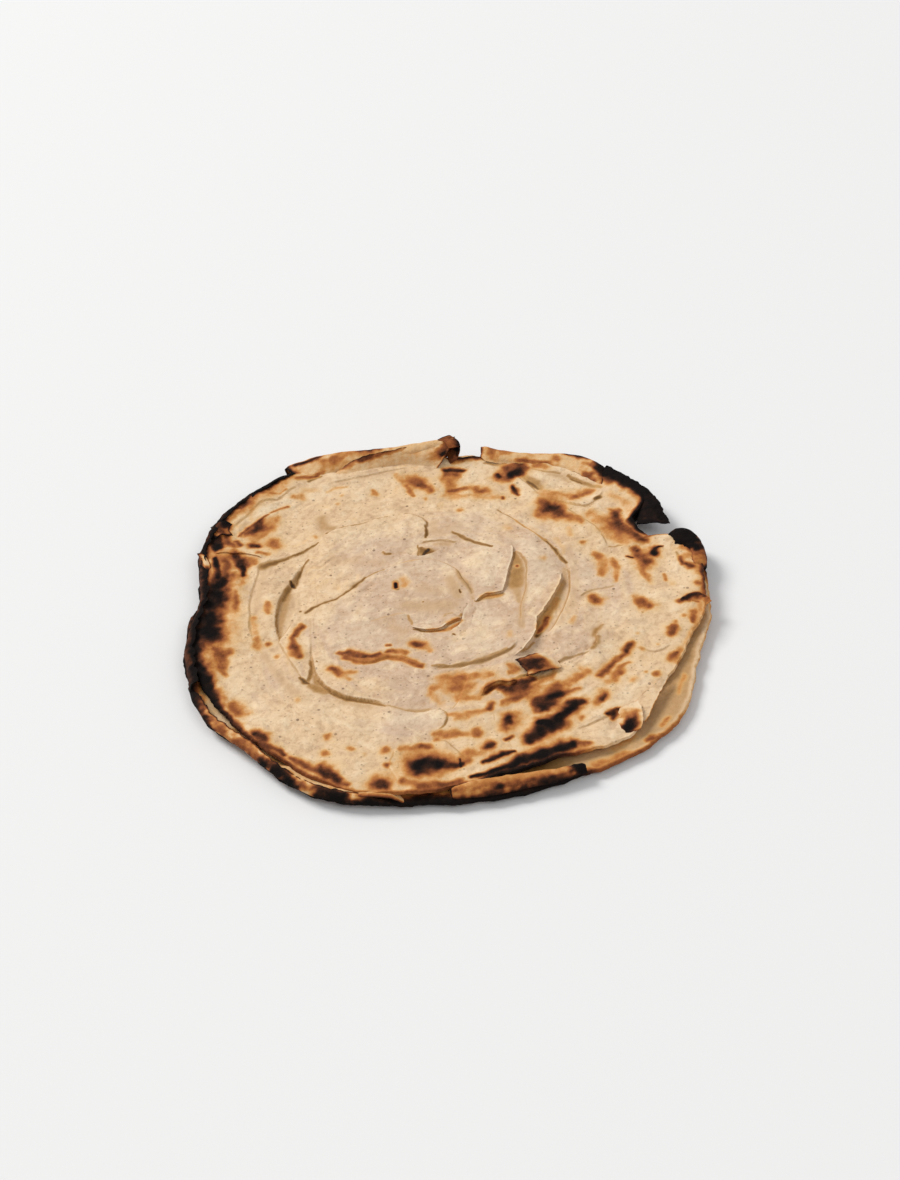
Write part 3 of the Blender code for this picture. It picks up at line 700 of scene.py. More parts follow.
    (0.5, ((14.8, 72.8, 1.9), (17.2, 71, 2.4))),
    (0.34, ((12, 73.5, 2.2), (20, 70, 2.6))),
    (0.34, ((3, 70.5, 2.2), (7, 69, 2.4))),
    (0.27, ((10, 68, 2.2), (17, 67.5, 2.4), (24, 66.3, 2.4))),
    (0.62, ((25.7, 66, 0.8), (25.5, 64.5, 0.8))),
    (0.72, ((24.3, 81, 1.4), (24.8, 79, 1.5))),
    (0.6, ((25, 79, 2.8), (28, 77, 2.6))),
    (0.95, ((29.5, 79.7, 2.8), (32.5, 81.5, 3.0))),
    (0.62, ((28.5, 84.5, 3.0), (33.5, 86, 3.4), (36, 83, 2.4))),
    (0.66, ((33, 88.3, 1.2), (36, 88.5, 1.0))),
    (0.42, ((40.5, 85.5, 2.0), (44, 84, 2.6))),
    (0.82, ((30.2, 71.3, 1.2), (30.8, 69, 1.6), (31.5, 66.8, 1.1))),
    (0.66, ((42.5, 54.5, 3.4), (44.8, 56, 4.0), (46.5, 53.5, 3.2))),
    (0.6, ((42.5, 58.5, 3.2), (48, 51.5, 3.0), (45.5, 57.5, 3.2))),
    (0.46, ((42, 60.5, 2.8), (40.8, 52, 3.2), (50.5, 49, 2.8), (54.5, 46, 2.2))),
    (0.32, ((43, 66, 3.5), (49, 62.5, 3.2), (55, 62.5, 3.4), (60, 64, 3.0))),
    (0.46, ((53.5, 60.5, 1.6), (57.5, 62.8, 2.0), (61.5, 65, 1.8))),
    (0.34, ((60, 50, 3.0), (64, 44, 4.0), (66, 37, 4.0), (71, 32, 3.0))),
    (0.26, ((70, 60, 3.0), (75, 55, 3.0), (76, 50, 2.5))),
    (0.68, ((69.5, 49, 2.4), (69.2, 44, 3.0), (71.5, 39.5, 3.0), (75, 35, 2.8), (78, 31, 2.2))),
    (0.5, ((67.5, 52.5, 1.2), (71, 50, 1.5))),
    (0.42, ((66, 44, 1.6), (70, 36, 2.4))),
)

# Painted shade in the cracks and hollows between flakes, and soft painted shade in the folds: how deep, and
# the points: x, y, half width.
CRACK_SHADES = (
    (0.62, ((-14, -9.8, 0.35), (-11, -11.6, 0.5), (-7.5, -12.3, 0.6), (-5, -12, 0.8),
            (-2.5, -11.8, 1.0), (0.5, -11, 1.0), (3, -9.3, 0.8), (4.6, -7.8, 0.5))),
    (0.5, ((-3, -9.3, 0.8), (0, -7.5, 0.9), (3, -6, 0.8), (4.6, -3.5, 0.6))),
    (0.36, ((-2.5, -6, 0.7), (-1.5, -3.3, 0.6), (1, -2.5, 0.5))),
    (0.85, ((0.8, -14.5, 0.45), (1.5, -15, 0.4))),
    (0.48, ((-15.8, -2, 0.6), (-15.2, -4.5, 0.7), (-14.5, -7, 0.5))),
    (0.28, ((-30, -3.3, 0.5), (-24, -2, 0.5), (-18, -0.7, 0.5))),
    (0.6, ((10.5, 2.6, 0.5), (12.2, 4, 0.6), (14, 5.4, 0.7), (16, 5.6, 0.5))),
    (0.5, ((12.5, 4.5, 1.3), (18, 5.3, 1.5), (20.5, 6, 1.2))),
    (0.54, ((27.6, 30, 0.8), (28, 25, 2.2), (27.6, 20, 3.2), (27, 15, 3.5), (26.3, 11, 3.5))),
    (0.42, ((28.2, 30.8, 0.4), (30, 27.5, 0.6), (31.2, 23.5, 0.6), (31.5, 20, 0.5))),
        (0.3, ((30.3, 9, 1.2), (29, 3, 1.4), (27.5, -3, 1.5), (26.8, -9, 1.8), (26.5, -14, 1.8))),
    (0.86, ((31.6, -19.5, 0.8), (33.2, -16, 1.7), (34.4, -12.5, 2.1), (36.4, -9, 2.2))),
    (0.54, ((37, -7, 2.3), (39.2, -3, 2.2), (41, 0.5, 1.9))),
    (0.44, ((41.8, 3, 1.9), (43.6, 7.5, 1.7), (45, 11, 1.4))),
    (0.32, ((43.5, 6, 2.4), (45.5, 12, 1.8), (46, 18, 1.2))),
    (0.36, ((26, 12, 3.0), (26.6, 6, 2.2), (27, 0, 1.4))),
    (0.5, ((24, -27.8, 0.4), (27.5, -26, 0.5), (30, -23, 0.6))),
    (0.46, ((-8, -31.3, 0.6), (-2, -32, 0.6), (4, -31.7, 0.8), (10, -30.3, 1.2), (15, -28.3, 1.3),
            (20, -26.3, 1.0))),
    (0.16, ((-41, -21.8, 0.4), (-37.5, -24.6, 0.5), (-34, -26.8, 0.5), (-30, -27, 0.5),
           (-26.5, -25.4, 0.6), (-23, -24.9, 0.6), (-19.5, -26.3, 0.6), (-16, -29, 0.7),
           (-12.5, -31.2, 0.6))),
    (0.8, ((-55, 4.8, 0.6), (-52, 7, 0.7), (-48, 9, 0.75), (-44, 10.8, 0.8), (-40.5, 13, 0.7),
           (-37.5, 15.8, 0.8), (-34.5, 19.3, 0.95), (-31.5, 22.3, 0.7))),
    (0.6, ((-31.5, 22.3, 0.7), (-28, 24.3, 0.6), (-24.5, 25.7, 0.5))),
    (0.4, ((4.3, 22, 0.9), (5, 18, 1.4), (6.3, 15, 1.8), (8, 12, 1.5), (9.2, 8, 1.1),
           (9.7, 4.5, 0.9))),
    (0.3, ((1.5, 17, 2.5), (2.5, 12, 3.5), (3.5, 7, 3.0))),
    (0.26, ((-16, 4, 4.5), (-8, 2, 5.0), (0, 2, 5.0))),
    (0.22, ((-10, 13, 4.0), (-4, 11, 4.5))),
    (0.2, ((-2, 47, 5.0), (6, 50, 5.0))),
    (0.2, ((-24, -4, 3.0), (-18, -11, 4.0), (-20, -16, 3.0))),
    (1.0, ((-20, 17.8, 1.1), (-20, 15.6, 1.2), (-19.5, 14.2, 0.7))),
    (0.95, ((4.6, 10, 0.35), (4.8, 8.6, 0.4))),
    (0.75, ((-10, 5.2, 0.4),)),
    (0.9, ((-57, 6, 0.45),)),
    (0.8, ((-50.7, -23.8, 0.4),)),
    (0.68, ((-9.3, 37.8, 1.0), (-8, 35.6, 2.2), (-6, 35, 2.1), (-4, 34.6, 0.9))),
    (1.0, ((-8.6, 33.4, 0.8), (-7.4, 35, 1.3), (-6.4, 36.4, 1.0))),
    (0.58, ((-10.3, 40.5, 0.3), (-10.2, 36, 0.35), (-10.4, 33, 0.4), (-13, 33.5, 0.4))),
    (0.62, ((-24.3, 37, 0.3), (-23.5, 35.4, 0.5), (-21.2, 35.2, 0.4))),
    (0.42, ((-8, 41.7, 0.25), (-3, 41.5, 0.3), (1, 41, 0.3), (5, 39.2, 0.25))),
    (0.66, ((3.8, 45.8, 0.5), (5.8, 44.3, 0.6), (7.5, 42, 0.9), (9.5, 40, 0.9), (12.5, 38.2, 0.6),
            (16, 36.2, 0.5), (19, 34.8, 0.45))),
    (0.68, ((-7, 43.8, 0.5), (-6.4, 46.5, 0.6), (-6.5, 49.5, 0.5), (-7, 51.5, 0.3))),
    (0.46, ((-14.5, 60.5, 0.45), (-11, 58.5, 0.5), (-8, 56.5, 0.6), (-6, 53.8, 0.6))),
    (0.22, ((-3.5, 53, 2.5), (-3, 46, 2.5))),
    (0.3, ((-3, 39, 1.8), (2, 38.8, 1.8))),
    (0.6, ((-46.5, 52.6, 0.5), (-43, 53.8, 0.6), (-36, 55.3, 0.7), (-33, 55.4, 0.6), (-30, 56.4, 0.6),
           (-27, 57.8, 0.5), (-22, 59.3, 0.4))),
    (0.38, ((-48.5, 62, 2.8), (-47.5, 56, 2.8), (-44, 55.2, 1.8))),
    (0.5, ((23, 58, 0.4), (26, 54.3, 0.45), (28.5, 51, 0.5), (33, 45, 0.5))),
    (0.76, ((37, 40, 0.45), (40, 36, 0.7), (42, 32.5, 0.8), (43.5, 28.8, 0.9), (45, 25, 0.9),
            (46.8, 20.8, 0.6))),
    (0.3, ((47, 20, 0.7), (47.5, 15, 0.8), (47, 9, 0.8), (46.5, 3, 0.7))),
    # The left.
    (0.7, ((-54, 36.5, 0.35), (-55.6, 33, 0.45), (-57, 29, 0.5), (-58, 25.5, 0.6),
           (-58.8, 22.5, 0.8))),
    (0.97, ((-60.7, 23.5, 0.7), (-60, 22, 1.1), (-59.6, 21, 0.8))),
    (0.62, ((-61.5, 20.5, 1.2), (-62.3, 17.5, 1.4), (-63.5, 13.5, 1.3))),
    (0.42, ((-62, 16, 2.6), (-63.5, 9, 2.6), (-64.3, 3, 2.2), (-64.7, -3, 1.6), (-64.8, -8, 0.7))),
    (0.2, ((-60, 14, 3.0), (-61, 7, 3.0), (-62, 1, 2.0))),
    (0.6, ((-66, 6, 0.3), (-66.4, 1, 0.3), (-66, -4, 0.3), (-65, -9, 0.35), (-64.8, -10.5, 0.3))),
    (0.36, ((-64.5, -12, 0.4), (-62.5, -17.5, 0.45), (-60.3, -23, 0.45), (-58, -28, 0.4))),
    (0.86, ((-57.3, -31, 0.4), (-55.6, -33.5, 1.0), (-54, -34.5, 0.8))),
    (0.6, ((-53.3, -22.5, 0.6), (-52.6, -26, 0.8), (-53, -30, 0.8), (-53.8, -33, 0.7))),
    (0.24, ((-53.2, 1, 0.5), (-53.2, -8, 0.5), (-53, -16, 0.5), (-53.2, -22, 0.5))),
    (0.52, ((-53, -36, 1.6), (-50.5, -38, 2.2), (-48, -40, 1.6))),
    (0.48, ((-51.5, -31, 1.2), (-50.5, -35, 1.8))),
    (0.66, ((-50.5, -33, 0.6), (-48.5, -36.5, 0.7), (-46, -40, 0.8), (-43, -42.8, 0.9),
            (-40, -44.8, 0.9), (-35.5, -46.2, 0.7), (-31, -47.5, 0.7), (-28, -49, 0.8),
            (-26, -50.5, 0.5))),
    (0.26, ((-43, -45.5, 1.8), (-37, -48, 1.8), (-31, -50, 1.5))),
    (0.76, ((-45.5, -40.8, 0.5), (-42.5, -43.3, 0.6), (-39, -45.2, 0.5),
            (-34, -46.5, 0.4), (-29.5, -48.3, 0.4))),
    (0.38, ((-25, -50.5, 0.9), (-20, -53, 1.1), (-15, -54, 1.1), (-10, -53.5, 0.8))),
    (0.56, ((-4, -57.5, 0.3), (-4.1, -60, 0.4), (-5, -62.3, 0.4), (-6.8, -64.3, 0.35))),
    (0.32, ((-73.6, 41.5, 0.25), (-73.6, 36, 0.3), (-74.2, 30, 0.3), (-75.6, 22, 0.3),
           (-77, 14, 0.35), (-76.8, 8, 0.35))),
    (0.45, ((-76.3, 6, 0.4), (-76.5, 1, 0.5), (-76, -4, 0.35))),
    (0.32, ((-75.5, -7, 0.35), (-74, -11, 0.35), (-71.5, -15.5, 0.35))),
    (0.22, ((-71, 30, 2.5), (-73, 20, 2.4), (-74, 10, 2.2), (-74, 2, 1.8))),
    (0.24, ((-71, -16, 1.6), (-67, -26, 2.2), (-62, -35, 2.5), (-56, -42, 3.0))),
    (0.2, ((48, 30, 2.5), (50, 20, 2.5), (49, 8, 2.5), (46, -4, 2.5), (41, -14, 2.5))),
    (0.2, ((-44, 36, 3.0), (-34, 32, 3.0), (-24, 31, 2.5))),
    (0.74, ((-72, 34.6, 2.0), (-69, 35.6, 1.7), (-65.5, 36.9, 1.0), (-62, 37.9, 0.6))),
    (0.72, ((-62, 38.2, 0.45), (-58.5, 39.6, 0.5), (-55.5, 41.8, 0.45), (-52.5, 44.3, 0.55),
            (-50, 46.5, 0.35))),
    # The back.
    (0.45, ((-83.5, 62.5, 0.35), (-80, 67.3, 0.35), (-76.5, 72.7, 0.4), (-73.5, 76.3, 0.45),
            (-70.5, 77.4, 0.35), (-67, 76.8, 0.35), (-64.5, 79, 0.35), (-62.2, 82, 0.5),
            (-59.3, 84.5, 0.5))),
    (0.32, ((-62, 71.6, 0.3), (-66, 70.8, 0.3), (-70, 68.4, 0.3), (-76, 63.4, 0.3))),
    (0.95, ((-53.7, 88.4, 0.7), (-51.5, 89.3, 0.8), (-48.5, 90.2, 0.35))),
    (0.6, ((-59, 89.3, 0.5), (-57, 89.3, 0.4))),
    (0.2, ((-44, 85, 0.9), (-38, 85.5, 1.2), (-30, 87, 1.3), (-22, 89, 1.3), (-12, 90, 1.0))),
    (0.7, ((-2.8, 95.5, 0.4), (-1.5, 92, 0.5), (-0.8, 89.5, 0.5))),
    (0.5, ((20, 90, 0.8), (24, 88.3, 0.9), (28, 87.5, 0.8))),
    (0.46, ((38, 84, 0.7), (44, 80.3, 0.7), (50, 78.5, 0.8))),
    (0.56, ((53.5, 76.5, 0.8), (56, 73, 1.4), (59, 70.3, 1.4), (62, 68.5, 1.2), (65.5, 66.7, 1.0))),
    (0.78, ((54.2, 74, 0.5), (56.2, 71.7, 0.6), (58.5, 69.8, 0.5))),
    (0.3, ((46, 78, 1.5), (51, 76, 1.8), (53, 72, 1.5))),
    (0.86, ((36.7, 74.5, 0.8), (38.5, 71.8, 1.0), (40.3, 69.3, 0.7))),
    (0.5, ((35, 78.5, 1.2), (37.5, 75.5, 2.0), (40, 72.5, 2.0), (41.5, 69.5, 1.2))),
    (0.42, ((44.5, 61.3, 0.5), (48, 59.2, 0.8), (52, 57.5, 0.6), (55.5, 55.8, 0.4),
            (58.5, 54.7, 0.35), (61.3, 56, 0.4))),
    (0.86, ((62.5, 58.8, 0.7), (65, 60.3, 0.8))),
    (0.46, ((48.5, 57.5, 0.35), (52.3, 52.7, 0.35), (56.3, 48, 0.4), (59.8, 43.5, 0.4),
            (61.8, 39.5, 0.35), (63, 35, 0.3), (63.8, 31, 0.3))),
    # The right.
    (0.56, ((64.5, 28.6, 0.4), (67, 28.3, 0.4), (68.5, 29, 0.5), (70, 28.8, 0.3))),
    (0.34, ((50.5, 0.2, 0.4), (53, 2.5, 0.4), (56, 4, 0.4), (60, 4.3, 0.4), (63.5, 4.6, 0.4))),
    (0.26, ((63.7, 20, 0.3), (63.7, 14, 0.35), (63.5, 9, 0.3))),
    (0.26, ((48, -5.6, 0.3), (52, -5, 0.3), (58, -5.6, 0.3))),
    (0.9, ((72.4, -11.4, 0.35),)),
    (0.26, ((78, -12.8, 0.3), (77.5, -15.5, 0.3), (76.3, -18, 0.3))),
    (0.5, ((56.5, -16.5, 1.0), (54.5, -18.8, 1.7), (53.2, -21.5, 1.4))),
    (0.5, ((54.3, -23.8, 1.0), (53.3, -26.5, 1.6), (51.5, -29.5, 1.2))),
    (0.3, ((69, -31, 0.4), (71.3, -33, 0.4), (74, -34, 0.4), (77, -33, 0.4), (79, -31.8, 0.4))),
    (0.6, ((90.3, 22, 0.6), (90.8, 18.5, 0.7), (91.8, 15, 0.6), (92, 12, 0.4))),
    (0.85, ((94.8, -20.7, 0.5), (92.5, -23, 1.0), (90.5, -25, 0.8), (88.8, -27, 0.4))),
    (0.62, ((96.2, -11.5, 0.4), (95.6, -14.5, 0.5), (95, -17.5, 0.4))),
    # The front.
    (0.84, ((27, -40.7, 0.7), (30, -39, 0.5), (33, -37.9, 0.5), (36, -36.7, 0.5), (38.5, -35, 0.35))),
    (0.42, ((38.5, -35, 0.4), (41, -33.3, 0.6), (44, -32.2, 0.35), (50, -31, 0.3))),
    (0.26, ((46, -68.3, 0.35), (49, -67, 0.35), (52, -65.6, 0.35))),
    (0.92, ((9, -48.3, 0.35), (10.5, -45.8, 0.4), (13, -43.9, 0.4), (15.8, -42.3, 0.4))),
    (0.75, ((17, -43.8, 0.5), (19.5, -44.5, 0.7))),
    (0.82, ((21.5, -41.6, 0.4), (24, -40.6, 0.6), (27, -40.6, 0.7))),
    (0.38, ((4, -41.5, 0.3), (2.3, -46, 0.3), (0.3, -51, 0.35), (-1.8, -54, 0.4))),
    (0.42, ((-8.5, -69.6, 0.6), (-5.2, -70.2, 0.5), (-3.2, -73.3, 0.4), (-0.3, -77.3, 0.35))),
    (0.5, ((-23.8, -74, 0.3), (-24.8, -77.3, 0.35), (-26, -79.8, 0.5))),
    (0.32, ((12.3, -58.5, 0.3), (12.8, -62, 0.3))),
    (0.75, ((-3, -89.8, 0.4), (-2.8, -92, 0.4))),
)

# Painted light on thin flakes that stand up, which show paler than the bread round them: how pale, and x, y,
# half width.
PAINTED_LIGHT_FLAKES = (
    (0.55, ((15, 38, 4.0), (17, 28, 6.5), (15.5, 17, 5.5), (17, 10.5, 3.0))),
    (0.5, ((31, 36, 3.5), (36, 26, 4.0), (37.5, 14, 4.0), (34, 4, 3.5))),
    (0.5, ((9, -4, 3.5), (13, -10, 5.0), (9, -19, 6.0), (14, -24, 3.0))),
    (0.35, ((-40, 50, 4.5), (-28, 50, 5.5), (-14, 50, 5.0))),
    (0.3, ((-20, 24, 4.0), (-8, 26, 4.0), (0, 24, 2.5))),
    (0.4, ((-12, -6, 2.6), (-5, -6.5, 2.2))),
    (0.3, ((-40, 5, 5.0), (-30, -8, 6.0), (-40, -12, 5.0))),
    (0.5, ((-22, -57, 3.0), (-14, -57.5, 3.2), (-7.5, -59, 3.0))),
    (0.3, ((-52, -45, 4.0), (-40, -56, 5.0), (-30, -62, 5.0))),
    (0.65, ((47.5, -51.5, 1.4), (41.5, -55, 1.3), (36, -59.5, 1.3), (31, -63.5, 0.9))),
    (0.6, ((53, -59, 2.2), (60, -55.5, 2.6), (66, -50.5, 2.4), (72, -45, 1.8))),
    (0.35, ((52, -74, 3.0), (60, -70, 3.0), (62, -65, 2.5))),
    (0.3, ((50, -34, 3.5), (58, -30, 3.5))),
    (0.35, ((-82, -30, 5.0), (-76, -42, 5.0), (-66, -55, 5.0))),
    (0.6, ((-84.5, 57.5, 1.6), (-79.5, 64, 2.4), (-73, 71, 2.6), (-65, 74, 2.4), (-59, 77, 2.0))),
    (0.65, ((-55, 77.5, 2.4), (-50, 79.5, 2.6), (-47, 82, 1.8))),
    (0.35, ((-35, 80, 4.5), (-22, 84, 3.5))),
    (0.4, ((44, 78, 3.0), (48, 74, 3.5), (50, 70, 2.5))),
    (0.45, ((56, 80, 2.5), (48, 85, 2.5))),
    (0.5, ((31.5, 75, 1.8), (34, 69, 2.2), (37, 63, 2.2))),
    (0.45, ((57, 57.5, 1.6), (62, 60.5, 1.6))),
    (0.4, ((12, 79, 2.5), (17, 84, 3.0), (15, 90, 3.0))),
    (0.35, ((22, 59, 3.5), (10, 55, 4.5), (20, 48, 3.5))),
    (0.35, ((70, -2, 4.0), (83, -4, 4.0))),
    (0.3, ((60, -12, 4.5), (72, -17, 4.5))),
    (0.35, ((52, 22, 3.5), (54, 10, 3.5))),
    (0.3, ((88, 14, 3.5), (92, 4, 3.0))),
)

# The marks on the lower layer where it shows at the front right, as MARKS but not in the drawing.
LOWER_MARKS = (
    (0.62, ((65.8, -74.6, 1.2), (67.6, -73.4, 1.5))),
    (0.42, ((72, -68, 1.4), (74.5, -64.5, 1.2))),
    (0.4, ((58, -79.5, 1.8), (52, -82.6, 2.0), (46, -84.4, 2.0))),
    (0.32, ((80, -52, 1.2), (83.5, -44, 1.2))),
    (0.28, ((61, -72, 2.2), (54, -77, 2.2))),
)

# Heading, and how far in the edge is scorched there, in millimetres.
UPPER_EDGE_SCORCH = (
    (0, 1.4), (10, 1.8), (15, 4.0), (18, 1.6), (19.6, 0.9), (22, 1.2), (25, 2.6), (29, 2.6),
    (34, 2.4), (42, 3.6), (47, 4.2), (53, 2.6), (60, 1.0), (68, 0.6), (77, 1.2), (81, 2.2),
    (85.5, 2.2), (89, 0.6), (100, 0.6), (118, 0.8), (124, 1.8),
    (130, 3.2), (137, 4), (144, 4.6), (152, 4.2), (158, 3), (163, 3), (170, 3.6), (183, 4), (192, 4.4),
    (199, 3.4), (206, 2.2), (214, 1.6), (226, 1.4), (240, 1.2), (250, 0.9), (262, 1.2), (272, 1.4),
    (277, 2.0), (284, 2.2), (291, 2.0), (297, 1.2), (303, 0.5), (312, 0.2), (330, 0.4), (345, 0.5),
    (353, 0.8),
)
LOWER_EDGE_SCORCH = (
    (0, 0.8), (12, 2.5), (22, 4), (30, 6), (60, 2), (75, 0.9), (85, 0.9), (95, 2), (130, 4),
    (160, 5), (185, 3.4), (200, 2.6), (210, 3.0), (224, 2.4), (236, 3.6), (243, 4.0), (256, 4.0),
    (260, 5), (266, 5), (274, 4.4), (285, 3.4), (293, 2.4), (300, 1.2), (308, 1.2), (318, 1.0), (328, 0.6),
    (350, 0.7),
)
# Heading, and how deep in brown shade the lower layer lies inside its rim, from 0 to 1.
LOWER_HOLLOW = (
    (0, 0.36), (30, 0.5), (60, 0.3), (180, 0.2), (205, 0.1), (225, 0.3), (240, 0.64), (255, 0.92),
    (285, 0.8), (298, 0.35), (312, 0.35), (330, 0.4), (345, 0.4),
)
upper_edge_scorch = round_curve(UPPER_EDGE_SCORCH)
lower_edge_scorch = round_curve(LOWER_EDGE_SCORCH)
lower_hollow = round_curve(LOWER_HOLLOW)


def stroke(points, x, y, fall):
    """How strongly a stroke shows at places, from 1 in its middle to 0 well outside it."""
    reach = 3.2 * max(point[2] for point in points)
    all_x, all_y = [point[0] for point in points], [point[1] for point in points]
    near = (x > min(all_x) - reach) & (x < max(all_x) + reach)
    near &= (y > min(all_y) - reach) & (y < max(all_y) + reach)
    nx, ny = x[near], y[near]
    best = np.full(nx.shape, np.inf)
    if len(points) == 1:
        best = np.hypot(nx - points[0][0], ny - points[0][1]) / points[0][2]
    for (ax, ay, aw), (bx, by, bw) in zip(points, points[1:]):
        dx, dy = bx - ax, by - ay
        t = np.clip(((nx - ax) * dx + (ny - ay) * dy) / (dx * dx + dy * dy), 0, 1)
        gap = np.hypot(nx - ax - t * dx, ny - ay - t * dy) / (aw + t * (bw - aw))
        best = np.minimum(best, gap)
    shown = np.zeros(x.shape)
    shown[near] = 1 / (1 + (best / 1.02) ** fall)
    return shown


def scorch(x, y):
    """How scorched the top is, from 0, pale, to 1, charred."""
    x, y = drawn(x, y)
    total = np.zeros(x.shape)
    off_x = 1.2 * noise(x, y, 6.5, 41) + 0.8 * noise(x, y, 2.6, 42)
    off_y = 1.2 * noise(x, y, 6.5, 43) + 0.8 * noise(x, y, 2.6, 44)
    uneven = 1 + 0.22 * noise(x, y, 4.2, 47)
    for strength, points in MARKS:
        warp = min(1.0, max(point[2] for point in points) / 3)
        total += (strength * stroke(points, x + warp * off_x, y + warp * off_y, 2.7)) ** 3
    return np.minimum(total * uneven ** 3, 1.0) ** (1 / 3)


def crack_shade(x, y):
    """How much painted shade the top has where it lies deep in a crack or hollow between flakes, from 0 to
    1.
    """
    x, y = drawn(x, y)
    dark = np.zeros(x.shape)
    off_x, off_y = 0.35 * noise(x, y, 2.2, 45), 0.35 * noise(x, y, 2.2, 46)
    for depth, points in CRACK_SHADES:
        fall = 3.6 if depth > 0.45 else 2.6
        dark = np.maximum(dark, depth * stroke(points, x + off_x, y + off_y, fall))
    for flake in FLAKES:
        depth = (0.24 if flake.lip else 0.5) * min(1.0, 0.45 + flake.height)
        dark = np.maximum(dark, depth * flake.crack_shade(x, y))
    return dark


def painted_highlight(x, y):
    """Painted highlights, from 0 to 1: along the thin flakes' edges, and painted light over some whole
    flakes.
    """
    x, y = drawn(x, y)
    light = np.zeros(x.shape)
    for flake in FLAKES:
        light = np.maximum(light, 0.6 * flake.light(x, y))
    off_x, off_y = 1.6 * noise(x, y, 7, 48), 1.6 * noise(x, y, 7, 49)
    for strength, points in PAINTED_LIGHT_FLAKES:
        light = np.maximum(light, strength * stroke(points, x + off_x, y + off_y, 2.8))
    return light


def edge_scorch(depth, width, x, y):
    """Scorching that is darkest at an edge; depth is how far in from it a place lies."""
    wander = 1 + 0.5 * noise(x, y, 8, 51) + 0.35 * noise(x, y, 2.7, 52)
    share = np.maximum(depth, 0) / (np.maximum(width, 0.1) * np.maximum(wander, 0.25))
    return smoothstep(0.1, 2.6, width) ** 0.6 / (1 + share ** 2.6)


def upper_scorch(x, y):
    """Scorching of the upper layer's top."""
    radius, heading = polar(x, y)
    depth = upper_radius(heading) - radius
    return np.maximum(scorch(x, y), edge_scorch(depth, upper_edge_scorch(heading), x, y))


def lower_scorch(x, y):
    """Scorching of the lower layer's top."""
    radius, heading = polar(x, y)
    total = edge_scorch(lower_radius(heading) - radius, lower_edge_scorch(heading), x, y)
    off_x, off_y = 0.8 * noise(x, y, 4, 55), 0.8 * noise(x, y, 4, 56)
    for strength, points in LOWER_MARKS:
        total = np.maximum(total, strength * stroke(points, x + off_x, y + off_y, 2.7))
    return total


def hollow_shade(x, y):
    """How brown the lower layer's top is in the shade inside its own pale rim, from 0 to 1."""
    radius, heading = polar(x, y)
    depth = lower_radius(heading) - radius + 0.5 * noise(x, y, 5, 53)
    return lower_hollow(heading) * smoothstep(0.5, 2.6, depth)


def hollow_rim(x, y):
    """The lower layer's lit rim at the front right, from 0 to 1."""
    radius, heading = polar(x, y)
    depth = lower_radius(heading) - radius
    side = smoothstep(292, 300, heading) * smoothstep(362, 352, heading)
    reach = 0.8 + 2.2 * np.exp(-((heading - 301) / 6) ** 2)
    return side * np.exp(-(np.maximum(depth - 0.2, 0) / reach) ** 2)


def underside_scorch(x, y):
    """Scorching of the underside: brown blisters, and the rim's char."""
    radius, heading = polar(x, y)
    rim = edge_scorch(lower_radius(heading) - radius, 0.7 * lower_edge_scorch(heading) + 1, x, y)
    blisters = noise(x, y, 17, 61) + 0.5 * noise(x, y, 6, 62)
    return np.maximum(rim, 0.8 * smoothstep(0.35, 1.0, blisters))


# --- Skins -------------------------------------------------------------------------------------


def warmth(x, y):
    """How warm the pale dough is: 0 in the greyish middle, 1 in the yellower outer bands."""
    spread = smoothstep(22, 88, np.hypot(x - 4, y + 2)) + 0.35 * noise(x, y, 26, 91)
    return np.clip(spread + 0.3 * streaks(x, y), 0, 1)


def streaks(x, y):
    """Streaks that run round the coil, between about -1 and 1."""
    radius, heading = polar(x, y)
    across = radius * 2.2 + 6 * noise(x, y, 17, 93)
    share = smoothstep(345, 360, heading)
    return noise(across, heading / 4, 5, 92) * (1 - share) + noise(across, heading / 4 - 90, 5, 92) * share


